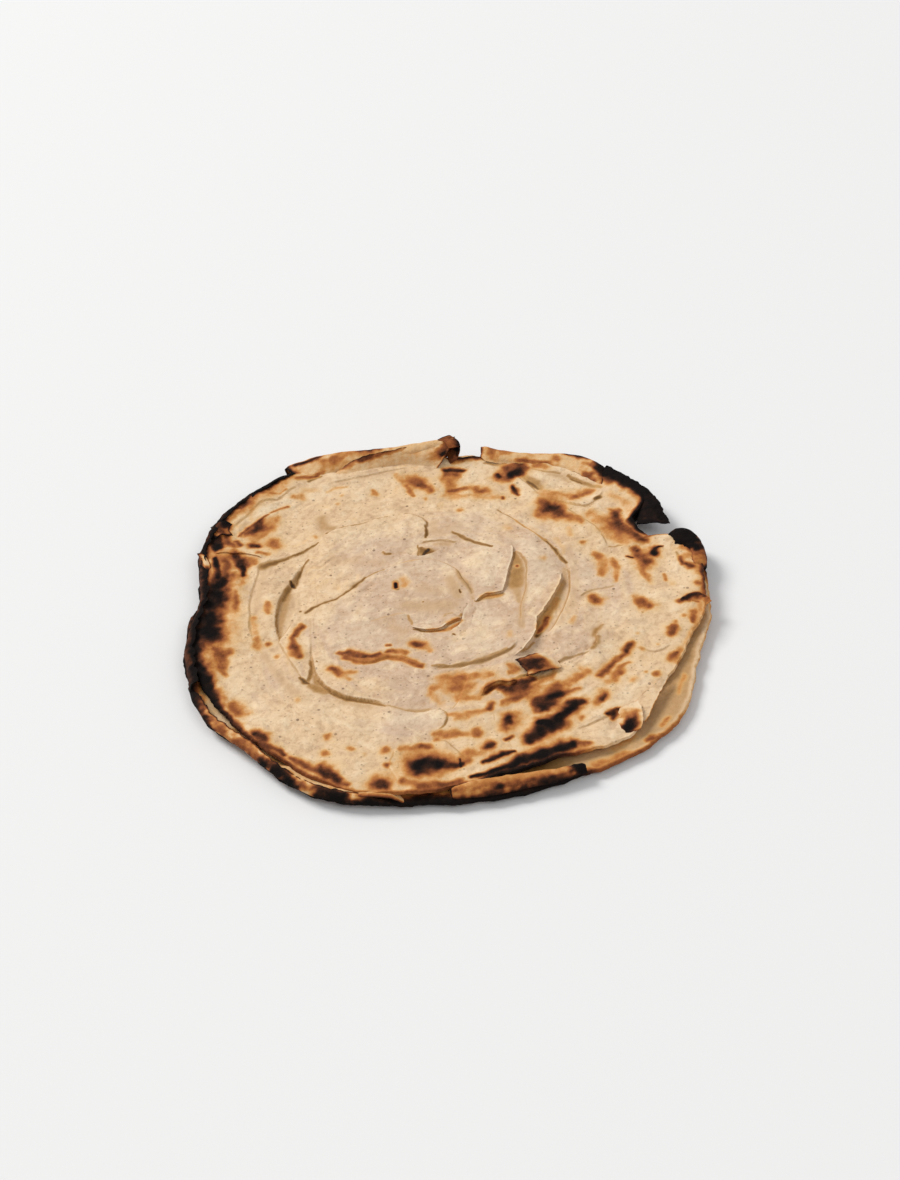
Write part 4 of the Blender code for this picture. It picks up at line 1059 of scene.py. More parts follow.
class Skin:
    """The points, faces, scorching, warmth, painted shade and painted highlights of closed skins, gathered
    before they become a mesh.
    """

    def __init__(self):
        self.points, self.faces, self.count = [], [], 0
        # Besides scorching and warmth, each point carries painted shade for cracks and hollows and a painted
        # highlight.
        self.tints = {"burn": [], "crack_shade": [], "light": [], "warm": []}

    def add(self, x, y, z, burn, crack_shade=0.0, light=0.0):
        """Add points and give their numbers, in the same rows and columns."""
        x, y, z = np.broadcast_arrays(x, y, z)
        self.points.append(placed(x, y, z).reshape(-1, 3))
        tints = (("burn", burn), ("crack_shade", crack_shade), ("light", light), ("warm", warmth(x, y)))
        for name, values in tints:
            self.tints[name].append(np.broadcast_to(values, x.shape).reshape(-1))
        numbers = np.arange(self.count, self.count + x.size).reshape(x.shape)
        self.count += x.size
        return numbers

    def bridge(self, inner, outer):
        """Join two rings of points; the faces look up where outer lies outside inner."""
        self.faces += np.stack(
            (inner, outer, np.roll(outer, -1), np.roll(inner, -1)), axis=-1
        ).tolist()

    def sheet(self, grid, flip=False):
        """Faces over a grid of points."""
        quads = np.stack((grid[:-1, :-1], grid[1:, :-1], grid[1:, 1:], grid[:-1, 1:]), axis=-1)
        quads = quads.reshape(-1, 4)
        self.faces += (quads[:, ::-1] if flip else quads).tolist()

    def close(self, ring, heading, height):
        """Draw a ring in under the layers, flat and out of sight; give its points' numbers."""
        x, y = spot(HIDDEN_RADIUS, heading)
        hidden = self.add(x, y, height, 0.0)
        self.bridge(ring, hidden)
        self.faces.append(hidden[::-1].tolist())

    def finish(self, name, sharp=65):
        """Make the mesh object."""
        mesh = bpy.data.meshes.new(name)
        mesh.from_pydata(np.vstack(self.points).tolist(), [], self.faces)
        for tint, values in self.tints.items():
            layer = mesh.attributes.new(tint, "FLOAT", "POINT")
            layer.data.foreach_set("value", np.concatenate(values).astype(np.float32))
        mesh.shade_smooth()
        mesh.set_sharp_from_angle(angle=math.radians(sharp))
        piece = bpy.data.objects.new(name, mesh)
        bpy.context.collection.objects.link(piece)
        return piece


def border(grid):
    """The points round a grid's four sides, in order."""
    return np.concatenate((grid[0, :-1], grid[:-1, -1], grid[-1, :0:-1], grid[:0:-1, 0]))


def disc_shares(inner, outer):
    """Headings and ring numbers of the points of a disc of even triangles: ring k holds 6k points."""
    headings, rings = [], []
    for k in range(inner, outer + 1):
        count = max(6 * k, 1)
        headings.append(360 * np.arange(count) / count)
        rings.append(np.full(count, k))
    return np.concatenate(headings), np.concatenate(rings)


def disc_faces(inner, outer):
    """Triangles between the inner and the outer ring of such a disc, looking up."""
    faces = []
    start = 0
    for k in range(inner + 1, outer + 1):
        round_inner, round_outer = max(6 * (k - 1), 1), 6 * k
        following = start + round_inner
        for sector in range(6):
            for i in range(k):
                a = following + (sector * k + i) % round_outer
                b = following + (sector * k + i + 1) % round_outer
                c = start + (sector * (k - 1) + i) % round_inner
                faces.append((c, a, b))
                if i < k - 1:
                    d = start + (sector * (k - 1) + i + 1) % round_inner
                    faces.append((c, b, d))
        start = following
    return faces


# The top is in two pieces that meet at this share of the upper layer's radius: the finer coil, and
# the bands around it.
COIL_SHARE = 0.53
COIL_RINGS = 172
BAND_RINGS = (106, 200)
LOWER_RINGS = 104
COIL_BOTTOM = 3.2
UPPER_BOTTOM = 1.0
WELL_RADIUS = 48.0            # the hole in the upper layer under the coil, and how high its floor is
WELL_FLOOR = 2.6

# The upper layer's edge and underside: how far in from the edge, how far below its top, and how
# much more scorched each ring is.
UPPER_UNDERSIDE = ((-0.35, 0.35, 0.0), (-0.3, 0.9, 0.0), (0.3, 1.3, 0.0), (1.6, 1.7, -0.1),
                   (4.0, 2.2, -0.3), (8.0, 2.6, -0.5))
# The lower layer's edge: how far in, and how far over the underside, each ring is.
LOWER_EDGE = ((0.1, 0.35), (0.0, 0.8), (0.1, 1.25), (0.5, 1.7))


def add_top(skin, heading, share):
    """Points on the top with all their tints."""
    x, y = spot(share * upper_radius(heading), heading)
    return skin.add(x, y, top_height(x, y), upper_scorch(x, y), crack_shade(x, y), painted_highlight(x, y))


def build_coil():
    """The middle of the top: a disc that carries the coil's flakes and sits in the upper layer."""
    skin = Skin()
    heading, ring = disc_shares(0, COIL_RINGS)
    numbers = add_top(skin, heading, COIL_SHARE * ring / COIL_RINGS)
    skin.faces += disc_faces(0, COIL_RINGS)
    ring, heading = numbers[-6 * COIL_RINGS:], heading[-6 * COIL_RINGS:]
    # How far out past the disc, and how far below its top, each ring of its skirt lies.
    for beyond, drop in ((0.3, 0.03), (0.4, 1.2)):
        x, y = spot(COIL_SHARE * upper_radius(heading) + beyond, heading)
        following = skin.add(x, y, top_height(x, y) - drop, upper_scorch(x, y), crack_shade(x, y))
        skin.bridge(ring, following)
        ring = following
    skin.close(ring, heading, COIL_BOTTOM)
    return skin.finish("coil")


def build_upper_layer():
    """The upper layer: the bands round the coil, a thin edge, and an underside that lifts off."""
    skin = Skin()
    inner, outer = BAND_RINGS
    heading, ring = disc_shares(inner, outer)
    numbers = add_top(skin, heading, ring / outer)
    skin.faces += disc_faces(inner, outer)

    x, y = spot(WELL_RADIUS, heading[:6 * inner])
    floor = skin.add(x, y, WELL_FLOOR, 0.0)
    skin.bridge(floor, numbers[:6 * inner])
    skin.faces.append(floor.tolist())

    ring, heading = numbers[-6 * outer:], heading[-6 * outer:]
    edge = upper_radius(heading)
    x, y = spot(edge, heading)
    edge_top, edge_burn = top_height(x, y), upper_scorch(x, y)
    for inset, drop, extra in UPPER_UNDERSIDE:
        x, y = spot(edge - inset, heading)
        z = np.minimum(edge_top - drop, top_height(x, y) - 1.1)
        z = np.maximum(z, underside_height(x, y) + 0.9)
        following = skin.add(x, y, z, np.clip(edge_burn + extra, 0, 1))
        skin.bridge(ring, following)
        ring = following
    skin.close(ring, heading, UPPER_BOTTOM)
    return skin.finish("upper_layer")


def build_lower_layer():
    """The lower layer: the underside, the rim, and the part of the top that shows past the edge."""
    skin = Skin()
    heading, ring = disc_shares(0, LOWER_RINGS)
    x, y = spot(ring / LOWER_RINGS * (lower_radius(heading) - 0.5), heading)
    numbers = skin.add(x, y, lower_underside(x, y), underside_scorch(x, y))
    skin.faces += [face[::-1] for face in disc_faces(0, LOWER_RINGS)]

    ring, heading = numbers[-6 * LOWER_RINGS:], heading[-6 * LOWER_RINGS:]
    edge = lower_radius(heading)
    # The lower layer's rim and top carry a painted highlight on the rim at the front right and painted shade
    # inside it.
    for inset, lift in LOWER_EDGE:
        x, y = spot(edge - inset, heading)
        z = underside_height(x, y) + lift
        following = skin.add(x, y, z, lower_scorch(x, y), 0.0, hollow_rim(x, y))
        skin.bridge(following, ring)
        ring = following
    for inset in np.arange(1.3, 34, 0.9):
        x, y = spot(edge - inset, heading)
        following = skin.add(x, y, lower_top(x, y), lower_scorch(x, y), hollow_shade(x, y), hollow_rim(x, y))
        skin.bridge(following, ring)
        ring = following
    x, y = spot(HIDDEN_RADIUS, heading)
    hidden = skin.add(x, y, SHEET_THICKNESS, 0.0)
    skin.bridge(hidden, ring)
    skin.faces.append(hidden.tolist())
    return skin.finish("lower_layer")


def lower_underside(x, y):
    """Height of the underside with its blisters; its flat part stays on the surface."""
    radius, heading = polar(x, y)
    depth = lower_radius(heading) - radius
    bumps = 0.25 + 0.25 * noise(x, y, 15, 71) + 0.12 * noise(x, y, 5, 72)
    return underside_height(x, y) + np.maximum(bumps, 0) * smoothstep(0, 4, depth)


def lower_top(x, y):
    """Height of the lower layer's top, with shallow bumps."""
    bumps = 0.35 * noise(x, y, 12, 73) + 0.12 * noise(x, y, 3.5, 74)
    return underside_height(x, y) + SHEET_THICKNESS + bumps


def build_flakes():
    """The thin edges of the flakes, which stand out over the hollows beside them."""
    skin = Skin()
    for flake in FLAKES:
        if flake.lip:
            add_flake(skin, flake)
    return skin.finish("coil_flakes", sharp=50)


def add_flake(skin, flake):
    """One flake's edge, as a thin closed sheet that comes out of the top beside it."""
    root = 5.0
    path = smooth_path(np.stack(undrawn(flake.path[:, 0], flake.path[:, 1]), axis=1), 0.7)
    tangent = np.gradient(path, axis=0)
    tangent = tangent / np.linalg.norm(tangent, axis=1)[:, None]
    inward = np.stack((-tangent[:, 1], tangent[:, 0]), axis=1)
    along = np.linspace(0, 1, len(path))
    fade = flake.fade(along)
    ragged = 0.6 * noise(path[:, 0], path[:, 1], 4.5, 81) + 0.5 * noise(path[:, 0], path[:, 1], 1.7, 82)
    out = (flake.lip * (1 + ragged)) * fade + 0.15
    v = np.concatenate((np.linspace(0, 0.8, 7), (0.88, 0.94, 0.98, 1.0)))
    distance = root - (root + out[:, None]) * v[None, :]
    x = path[:, :1] + inward[:, :1] * distance
    y = path[:, 1:] + inward[:, 1:] * distance
    held = np.maximum(distance, 0.9)
    base = top_height(path[:, :1] + inward[:, :1] * held, path[:, 1:] + inward[:, 1:] * held)
    lift = -0.25 + 0.40 * smoothstep(0, 0.45, v)[None, :] + flake.curl * fade[:, None] * v[None, :] ** 3
    lift = lift - 0.5 * (1 - fade[:, None])
    z = base + lift
    thin = 0.75 - 0.4 * v[None, :]
    burn = upper_scorch(x, y)
    # Painted highlight along the lip's free edge, painted shade on its top past the root, and painted shade
    # under it.
    light = 0.8 * fade[:, None] * smoothstep(0.8, 0.97, v)[None, :]
    over = skin.add(x, y, z, burn, 0.6 * crack_shade(x, y) * (distance > 0.6), light)
    under = skin.add(x, y, z - thin, burn, 0.4)
    skin.sheet(over, flip=True)
    skin.sheet(under)
    skin.bridge(border(over), border(under))


# --- Folded and torn pieces at the rim -------------------------------------------------------


class Fold:
    """A thin sheet that stands or lies on the bread.

    rows are lines over the sheet, from where it joins the bread to its free edge, each from left
    to right as seen from its outer face. marks are scorch marks: how dark, how far along and how
    far across as shares, and half its size along and across in millimetres. edges give how wide
    the scorching is along the joined, free, left and right edges, and strength how dark it is.
    ragged is how far the tears of the free edge reach and rough how uneven the sheet is, both in
    millimetres, as thickness is. tone is how scorched the whole sheet is. blend is over what share
    of its width, from where it joins, the top's own scorching gives way to the sheet's. light is
    how strong the painted highlight along the free edge is, and pale how strong the painted light
    over the whole sheet is.
    """

    def __init__(self, rows, thickness=1.1, marks=(), edges=(0, 1, 0, 0), strength=1.0, ragged=0.5,
                 rough=0.25, tone=0.0, blend=0.0, light=0.4, pale=0.0):
        self.rows, self.thickness, self.marks, self.edges = rows, thickness, marks, edges
        self.strength, self.ragged, self.rough, self.tone = strength, ragged, rough, tone
        self.blend, self.light, self.pale = blend, light, pale

    def grid(self):
        """Evenly spaced points over the sheet, as arrays of places by row and column."""
        longest = max(np.linalg.norm(np.diff(smooth_path(row, 2), axis=0), axis=1).sum()
                      for row in self.rows)
        columns = max(int(longest / 0.7), 8)
        lines = [resample(smooth_path(row, 0.5), columns) for row in self.rows]
        across = np.linalg.norm(np.diff(np.stack(lines), axis=0), axis=2).sum(axis=0).max()
        steps = max(int(across / 0.7), 6)
        points = np.empty((columns + 1, steps + 1, 3))
        for k in range(columns + 1):
            points[k] = resample(smooth_path([line[k] for line in lines], 0.3, 3), steps)
        return points


def resample(path, steps):
    """The same path with a given number of even steps."""
    along = np.append(0, np.cumsum(np.linalg.norm(np.diff(path, axis=0), axis=1)))
    even = np.linspace(0, along[-1], steps + 1)
    return np.stack([np.interp(even, along, path[:, k]) for k in range(path.shape[1])], axis=1)


def torn(fold, grid, along, across, length, height, seed):
    """A sheet's points with its free edge and its two ends torn."""
    x, y, z = grid[..., 0], grid[..., 1], grid[..., 2]
    outward = np.gradient(grid, axis=1) / (height[..., None] / grid.shape[1])
    tear = fold.ragged * (noise(x, z + y, 3.3, seed) + 0.7 * noise(x, z + y, 1.3, seed + 1))
    points = grid + outward * (tear * across ** 4)[..., None]
    along_tear = 0.7 * fold.ragged * noise(y * 2 + z, x, 2.4, seed + 2)
    sideways = np.gradient(points, axis=0) / (length / points.shape[0])
    ends = np.clip(np.abs(along - 0.5) * 2, 0, 1) ** 12
    return points + sideways * (along_tear * ends)[..., None]


def facing(points):
    """Which way each point of a sheet faces, outwards."""
    normal = np.cross(np.gradient(points, axis=0), np.gradient(points, axis=1))
    return normal / np.maximum(np.linalg.norm(normal, axis=2), 1e-9)[..., None]


def add_fold(skin, fold, seed):
    """Add one fold as a closed thin sheet."""
    grid = fold.grid()
    along = np.linspace(0, 1, grid.shape[0])[:, None]
    across = np.linspace(0, 1, grid.shape[1])[None, :]
    x, y, z = grid[..., 0], grid[..., 1], grid[..., 2]
    length = np.linalg.norm(np.diff(grid, axis=0), axis=2).sum(axis=0).mean()
    height = np.linalg.norm(np.diff(grid, axis=1), axis=2).sum(axis=1)[:, None]
    height = np.maximum(height, 0.5)

    points = torn(fold, grid, along, across, length, height, seed)
    normal = facing(points)
    swell = noise(x, y + z, 7, seed + 3) + 0.45 * noise(x, y + z, 2.6, seed + 4)
    points = points + normal * (fold.rough * swell)[..., None]
    from_ends = np.minimum(along, 1 - along) * length
    from_free = (1 - across) * height
    thin = 0.35 + 0.65 * smoothstep(0, 1.6, np.minimum(from_ends, from_free))
    below = points - normal * (fold.thickness * thin)[..., None]

    burn = fold_scorch(fold, along, across, length, height, x, y + z, seed)
    if fold.blend:
        share = smoothstep(0, fold.blend, across)
        burn = upper_scorch(x, y) * (1 - share) + burn * share
    # Painted highlight along the free edge, and painted light over the whole sheet from pale.
    light = np.maximum(fold.light * np.exp(-(from_free / 0.8) ** 2), fold.pale)
    over = skin.add(points[..., 0], points[..., 1], points[..., 2], burn, 0.0, light)
    under = skin.add(below[..., 0], below[..., 1], below[..., 2], np.clip(burn + 0.1, 0, 1))
    skin.sheet(over)
    skin.sheet(under, flip=True)
    skin.bridge(border(over.T), border(under.T))


def fold_scorch(fold, along, across, length, height, x, y, seed):
    """Scorching over a fold, from its marks and its edges."""
    wander = 1 + 0.5 * noise(x, y, 6, seed + 5) + 0.4 * noise(x, y, 2.2, seed + 6)
    wander = np.maximum(wander, 0.3)
    total = np.full(x.shape, fold.tone ** 3)
    depths = (across * height, (1 - across) * height, along * length, (1 - along) * length)
    for depth, width in zip(depths, fold.edges):
        if width:
            share = depth / (width * wander)
            total = total + (fold.strength / (1 + share ** 2.4)) ** 3
    for strength, u, v, half_along, half_across in fold.marks:
        share = np.hypot((along - u) * length / half_along, (across - v) * height / half_across)
        total = total + (strength / (1 + (share / wander) ** 3.4)) ** 3
    return np.minimum(total, 1.0) ** (1 / 3)


def rim_rows(headings, section, taper=(0.01, 0.01)):
    """Rows of a sheet that follows the lower edge: section gives how far in and how high each is.

    taper is over how many degrees the sheet narrows at its two ends.
    """
    headings = np.array(headings, float)
    full = smoothstep(0, taper[0], headings - headings[0] + 0.01)
    full = 0.25 + 0.75 * full * smoothstep(0, taper[1], headings[-1] - headings + 0.01)
    rows = []
    for inset, lift in section:
        x, y = spot(lower_outline(headings) - inset * full, headings)
        rows.append(np.stack((x, y, rim_rise(headings) + lift * full), axis=1))
    return rows


# The rolled back edge, in overlapping sheets, and the sheet right of the gap.
BACK_FOLDS = (
    # The two rolls carry painted light over their whole faces (pale), which turn away from the key lamp.
    Fold(rows=(
        ((-63, 95.5, 5.5), (-50, 99, 5), (-38, 99.5, 5), (-22, 97.5, 5.5), (4, 97, 5.5)),
        ((-64, 97, 7), (-52, 101, 7.5), (-38, 101.5, 8), (-22, 100, 8.5), (6, 100, 10)),
        ((-63, 96.5, 8), (-50, 98.5, 10.5), (-38, 99, 11.5), (-20, 98.5, 12), (5.5, 99, 14)),
        ((-62, 95, 8), (-49, 95, 10), (-37, 95.5, 10.5), (-20, 96, 11.5), (5, 97, 13.5)),
        ((-60, 92, 8), (-52, 88.5, 7.5), (-44, 90.5, 7.5), (-32, 93, 8.5), (5, 96, 12)),
    ), thickness=1.0, marks=(
        (0.42, 0.28, 0.62, 5, 2.0), (0.3, 0.5, 0.6, 9, 2.0), (0.85, 0.56, 0.5, 8, 1.5),
        (0.75, 0.12, 0.46, 9, 0.9), (0.45, 0.17, 0.9, 3, 1.2), (0.2, 0.3, 0.8, 14, 2),
    ), edges=(0, 0, 1.6, 0.8), strength=0.9, tone=0.1, pale=0.8),
    Fold(rows=(
        ((-47, 87, 7), (-41, 86, 7), (-30, 88, 7), (-20, 92, 7), (-14, 92.5, 7.5), (-6, 90, 7),
         (-1, 88, 7)),
        ((-44, 89.5, 8), (-38, 89.5, 9), (-27, 92.5, 10), (-15, 94, 11), (-4, 93, 11.5),
         (3.5, 91.5, 11)),
        ((-41, 92, 9), (-34, 94.5, 11.5), (-26, 95.5, 13), (-16, 96.5, 13.5), (-6, 98, 14),
         (8.5, 98.5, 16)),
    ), thickness=1.0, marks=(
        (0.66, 0.74, 0.86, 2.2, 2.0), (0.62, 0.95, 0.62, 3.0, 4.0), (0.9, 0.975, 0.5, 1.6, 2.4),
        (0.45, 0.9, 0.98, 5, 1.4), (0.3, 0.08, 0.2, 3, 2), (0.14, 0.5, 0.5, 20, 4),
        (0.52, 0.1, 0.95, 5, 2.4), (0.66, 0.24, 0.94, 7, 3.0), (0.5, 0.45, 0.97, 9, 2.2),
    ), edges=(0, 0.5, 0.4, 0.3), strength=0.72, ragged=0.45, blend=0.15, tone=0.2, pale=0.7),
    Fold(rows=(
        ((5.5, 90.5, 7.5), (5, 95, 8), (3, 98, 8.5)),
        ((9, 92, 9.5), (9.5, 96, 11), (7, 99.5, 11.5)),
        ((10, 94.5, 13), (9.5, 97, 15), (6.5, 100, 16)),
        ((5.5, 94, 13.5), (4, 96.5, 15), (1, 99, 15)),
    ), thickness=1.0, marks=((0.97, 0.3, 0.5, 3.0, 4.0),), edges=(0, 0, 0, 0.4), strength=0.8,
        tone=0.56, ragged=0.3, light=0),
    Fold(rows=(
        ((19, 97, 5), (38, 92.5, 5), (50, 89.5, 5), (60, 85, 5), (69, 77.5, 5)),
        ((19, 97, 8.5), (27, 95, 7.5), (38, 91.5, 8), (50, 89, 8), (60, 85, 8), (69, 77.5, 8)),
        ((19, 96, 11), (27, 93, 9.5), (38, 89.5, 9), (52, 87, 9.5), (60, 83.5, 10), (68, 76, 9.5)),
        ((18.5, 93.5, 9), (25, 90.5, 9), (38, 87.5, 8.5), (51, 84, 9), (58, 80, 9), (67.5, 72.5, 9)),
        ((18.5, 91.5, 8.5), (23.5, 88.5, 8), (38, 85, 8), (52, 80, 8), (58, 75, 8.5), (66.5, 67, 8)),
    ), thickness=1.0, marks=(
        (0.5, 0.36, 0.84, 5.0, 1.2), (0.45, 0.5, 0.86, 4, 1.2), (0.36, 0.18, 0.5, 4, 2),
        (0.85, 0.98, 0.4, 6, 6), (0.4, 0.6, 0.62, 2.2, 1.8), (0.42, 0.1, 0.45, 3, 4),
        (0.5, 0.86, 0.95, 3, 1.4), (0.95, 0.74, 0.34, 7, 1.2),
    ), edges=(2.0, 0, 0.6, 0.4), strength=0.7, tone=0.08, light=0.6),
    # The charred point over the notch.
    Fold(rows=(
        ((65.5, 70.5, 8.5), (76, 59, 8), (80, 53, 8), (77, 41, 7.5)),
        ((67.5, 74, 9.5), (79, 61.5, 9), (84.5, 50, 9), (84, 40, 8.5)),
        ((69.5, 78.5, 9.5), (77, 70.5, 9.5), (86, 57, 9), (90.5, 39, 8)),
    ), thickness=1.3, edges=(0, 4, 2, 2), tone=0.93, ragged=0.5, rough=0.4, blend=0.2, light=0),
)

# The scorched curled lump right of the notch.
LUMP_FOLDS = (
    Fold(rows=(
        ((88, 31, 6), (92.5, 33, 6), (97, 31, 6), (100, 25, 5.5), (100, 12, 5)),
        ((88, 31.5, 8.5), (92.5, 32.5, 9), (96.5, 30.5, 9), (99.5, 25, 8.5), (99.5, 12, 6.5)),
        ((89.5, 28.5, 9.5), (93, 29.5, 10.5), (96, 28.5, 10.5), (98.5, 22, 9), (98, 12, 7.5)),
        ((90, 25, 8.5), (93, 24, 8.5), (95, 20, 8), (95, 12, 7.5)),
    ), thickness=1.1, marks=((1.0, 0.3, 0.55, 8, 5), (1.0, 0.28, 0.9, 7, 5)), edges=(2, 0.8, 2, 0.4),
        strength=0.95, tone=0.3, ragged=0.9, rough=0.6, light=0),
)

# The rim's rolled and charred outer layer: front left, left, and the strip at the front right.
RIM_FOLDS = (
    Fold(rows=rim_rows(range(196, 262, 3), ((3, 0.2), (0.3, 0.7), (-0.2, 2.2), (1.0, 3.9), (3.0, 4.1)),
                       taper=(6, 14)),
         thickness=0.9, marks=(
             (1.0, 0.07, 0.45, 12, 5), (0.9, 0.2, 0.42, 6, 3), (0.6, 0.26, 0.6, 5, 3.4),
             (0.62, 0.35, 0.55, 7, 3.4), (0.56, 0.43, 0.5, 6, 3.2), (0.95, 0.47, 0.5, 2.2, 2.4),
             (1.0, 0.53, 0.6, 4.2, 4.6), (1.0, 0.59, 0.5, 5.5, 4.2), (0.6, 0.65, 0.7, 2.6, 1.8),
             (1.0, 0.76, 0.56, 7.5, 5.0), (1.0, 0.87, 0.5, 9, 3.2), (1.0, 0.95, 0.42, 9, 3.0),
             (0.9, 0.4, 0.22, 14, 1.2),
         ), edges=(2.4, 0.3, 1, 1), strength=0.85, tone=0.12, ragged=0.5, rough=0.35),
    Fold(rows=rim_rows(range(225, 259, 3), ((1.3, 3.8), (3.0, 3.9), (5.8, 3.0)), taper=(6, 4)),
         thickness=0.5, marks=((0.6, 0.2, 0.2, 4, 1.0), (0.5, 0.5, 0.1, 5, 0.8), (0.4, 0.75, 0.2, 3, 1)),
         edges=(0.8, 0.3, 1.2, 0.5), strength=0.7, ragged=0.4, rough=0.25, tone=0.22, pale=0.1),
    Fold(rows=rim_rows(range(123, 201, 3), ((4, 0.4), (0.8, 1.2), (1.0, 3.6), (2.2, 5.6), (4.2, 6.0))),
         thickness=0.9, marks=(
             (0.5, 0.12, 0.95, 9, 1.0), (0.5, 0.3, 0.95, 7, 1.0),
         ), edges=(5, 2.2, 2, 2), strength=1.0, tone=0.74, ragged=0.9, rough=0.5, light=0),
    Fold(rows=(
        ((-2.5, -94.5, 2.5), (8, -94.5, 2.5), (28, -91, 2.5), (43, -87, 2.5)),
        ((-4.5, -95, 4), (8, -95, 4.5), (28, -92, 4.5), (43, -88.5, 4.5)),
        ((-5, -93, 6.5), (8, -91, 7), (24, -89.5, 6.5), (42.5, -86.5, 6)),
        ((-4, -91, 6), (8, -89, 6.5), (24, -87.5, 6), (41.5, -85, 5.5)),
    ), thickness=1.0, marks=(
        (0.56, 0.5, 0.5, 20, 1.6), (0.42, 0.25, 0.6, 9, 1.6), (0.8, 0.36, 0.5, 2.2, 1.2),
        (1.0, 0.95, 0.7, 3.0, 4), (0.6, 0.75, 0.5, 8, 1.2), (0.5, 0.04, 0.62, 2.4, 1.6),
    ), edges=(3.6, 0, 0.5, 1), strength=1.0, tone=0.34, ragged=0.5, rough=0.35, light=0.95),
)

# Torn flakes: the pale corner and the sheet under it at the front right, the dark curled flake,
# and splinters at the left rim.
TORN_FLAKES = (
    Fold(rows=(
        ((57.5, -60, 5.5), (55.5, -64, 5), (55, -71.5, 5)),
        ((61, -59.5, 7), (60, -65, 6), (60, -72, 5.5)),
        ((64.5, -59, 8), (65.5, -65, 7.5), (64, -71, 6)),
    ), thickness=0.8, marks=((0.97, 0.8, 0.45, 3.8, 3.6), (0.5, 0.72, 0.5, 6.0, 4.6)),
        edges=(0, 0, 0, 0.4), strength=0.5, ragged=0.3, rough=0.25, light=1.0, pale=0.25),
    Fold(rows=(
        ((76.5, -45.5, 7), (69, -52.5, 6.5), (60, -60.5, 6)),
        ((77, -47, 6.5), (72.5, -55.5, 6.5), (66, -68, 6)),
    ), thickness=0.6, edges=(0, 0.2, 0, 0), strength=0.4, ragged=0.4, rough=0.3, light=0.7),
    Fold(rows=(
        ((39.5, -37, 7), (37, -32.5, 7.5), (33, -29.5, 8)),
        ((32, -39.5, 8), (31, -34.5, 8.5), (29, -30.5, 8.5)),
        ((26, -41.5, 8.5), (25.5, -37, 9), (23, -33, 9)),
    ), thickness=0.6, marks=((0.84, 0.5, 0.76, 5, 4.4), (0.5, 0.4, 0.35, 6, 4)), edges=(0, 1.2, 0.5, 0.3),
        strength=0.7, tone=0.24, ragged=0.8, rough=0.35, blend=0.35),
    Fold(rows=(
        ((-92.5, 31, 9), (-92.5, 36, 9.5), (-94, 41, 10)),
        ((-93.5, 31.5, 9.5), (-94.5, 36.5, 10.5), (-96, 42.5, 10.5)),
        ((-95, 32, 8.5), (-96, 37, 9.5), (-98, 43.5, 10)),
    ), thickness=0.6, marks=((0.9, 0.05, 0.3, 3, 2), (0.6, 0.1, 0.8, 3, 2)), edges=(0.5, 1.1, 0.8, 1),
        strength=0.8, tone=0.1, ragged=0.7, rough=0.4, light=0.6),
    Fold(rows=(
        ((-94.5, -24, 4.5), (-96.5, -5, 5), (-95.5, 9, 5.5)),
        ((-98, -24, 5.5), (-100, -5, 6), (-98.5, 9, 7)),
        ((-96.5, -23, 7), (-98.5, -5, 8), (-97, 10, 8.5)),
    ), thickness=0.8, marks=((0.55, 0.7, 0.75, 6, 1.6),), edges=(4, 1.0, 1, 1), strength=1.0,
        tone=0.6, ragged=0.8, rough=0.4),
    Fold(rows=(
        ((-84.5, 55, 8.5), (-86, 58.5, 9), (-84.5, 61.5, 9)),
        ((-88.5, 54.5, 9.5), (-89.5, 58.5, 10.5), (-88.5, 62, 10.5)),
        ((-91.5, 53, 9), (-93, 56.5, 9.5), (-93, 60.5, 9.5)),
    ), thickness=0.8, marks=((0.9, 0.8, 0.3, 3, 3), (0.6, 0.2, 0.5, 3, 2)), edges=(0.5, 1, 0.6, 1),
        strength=0.95, tone=0.45, ragged=0.9, rough=0.6),
)


def build_folds(name, folds, seed):
    """One piece made of several folds."""
    skin = Skin()
    for number, fold in enumerate(folds):
        add_fold(skin, fold, seed + 10 * number)
    return skin.finish(name, sharp=60)


# --- Materials ---------------------------------------------------------------------------------


def shade(red, green, blue):
    """A colour given as on a screen, from 0 to 255, as the linear values that shaders take."""
    values = [channel / 255 for channel in (red, green, blue)]
    return [v / 12.92 if v <= 0.04045 else ((v + 0.055) / 1.055) ** 2.4 for v in values] + [1.0]


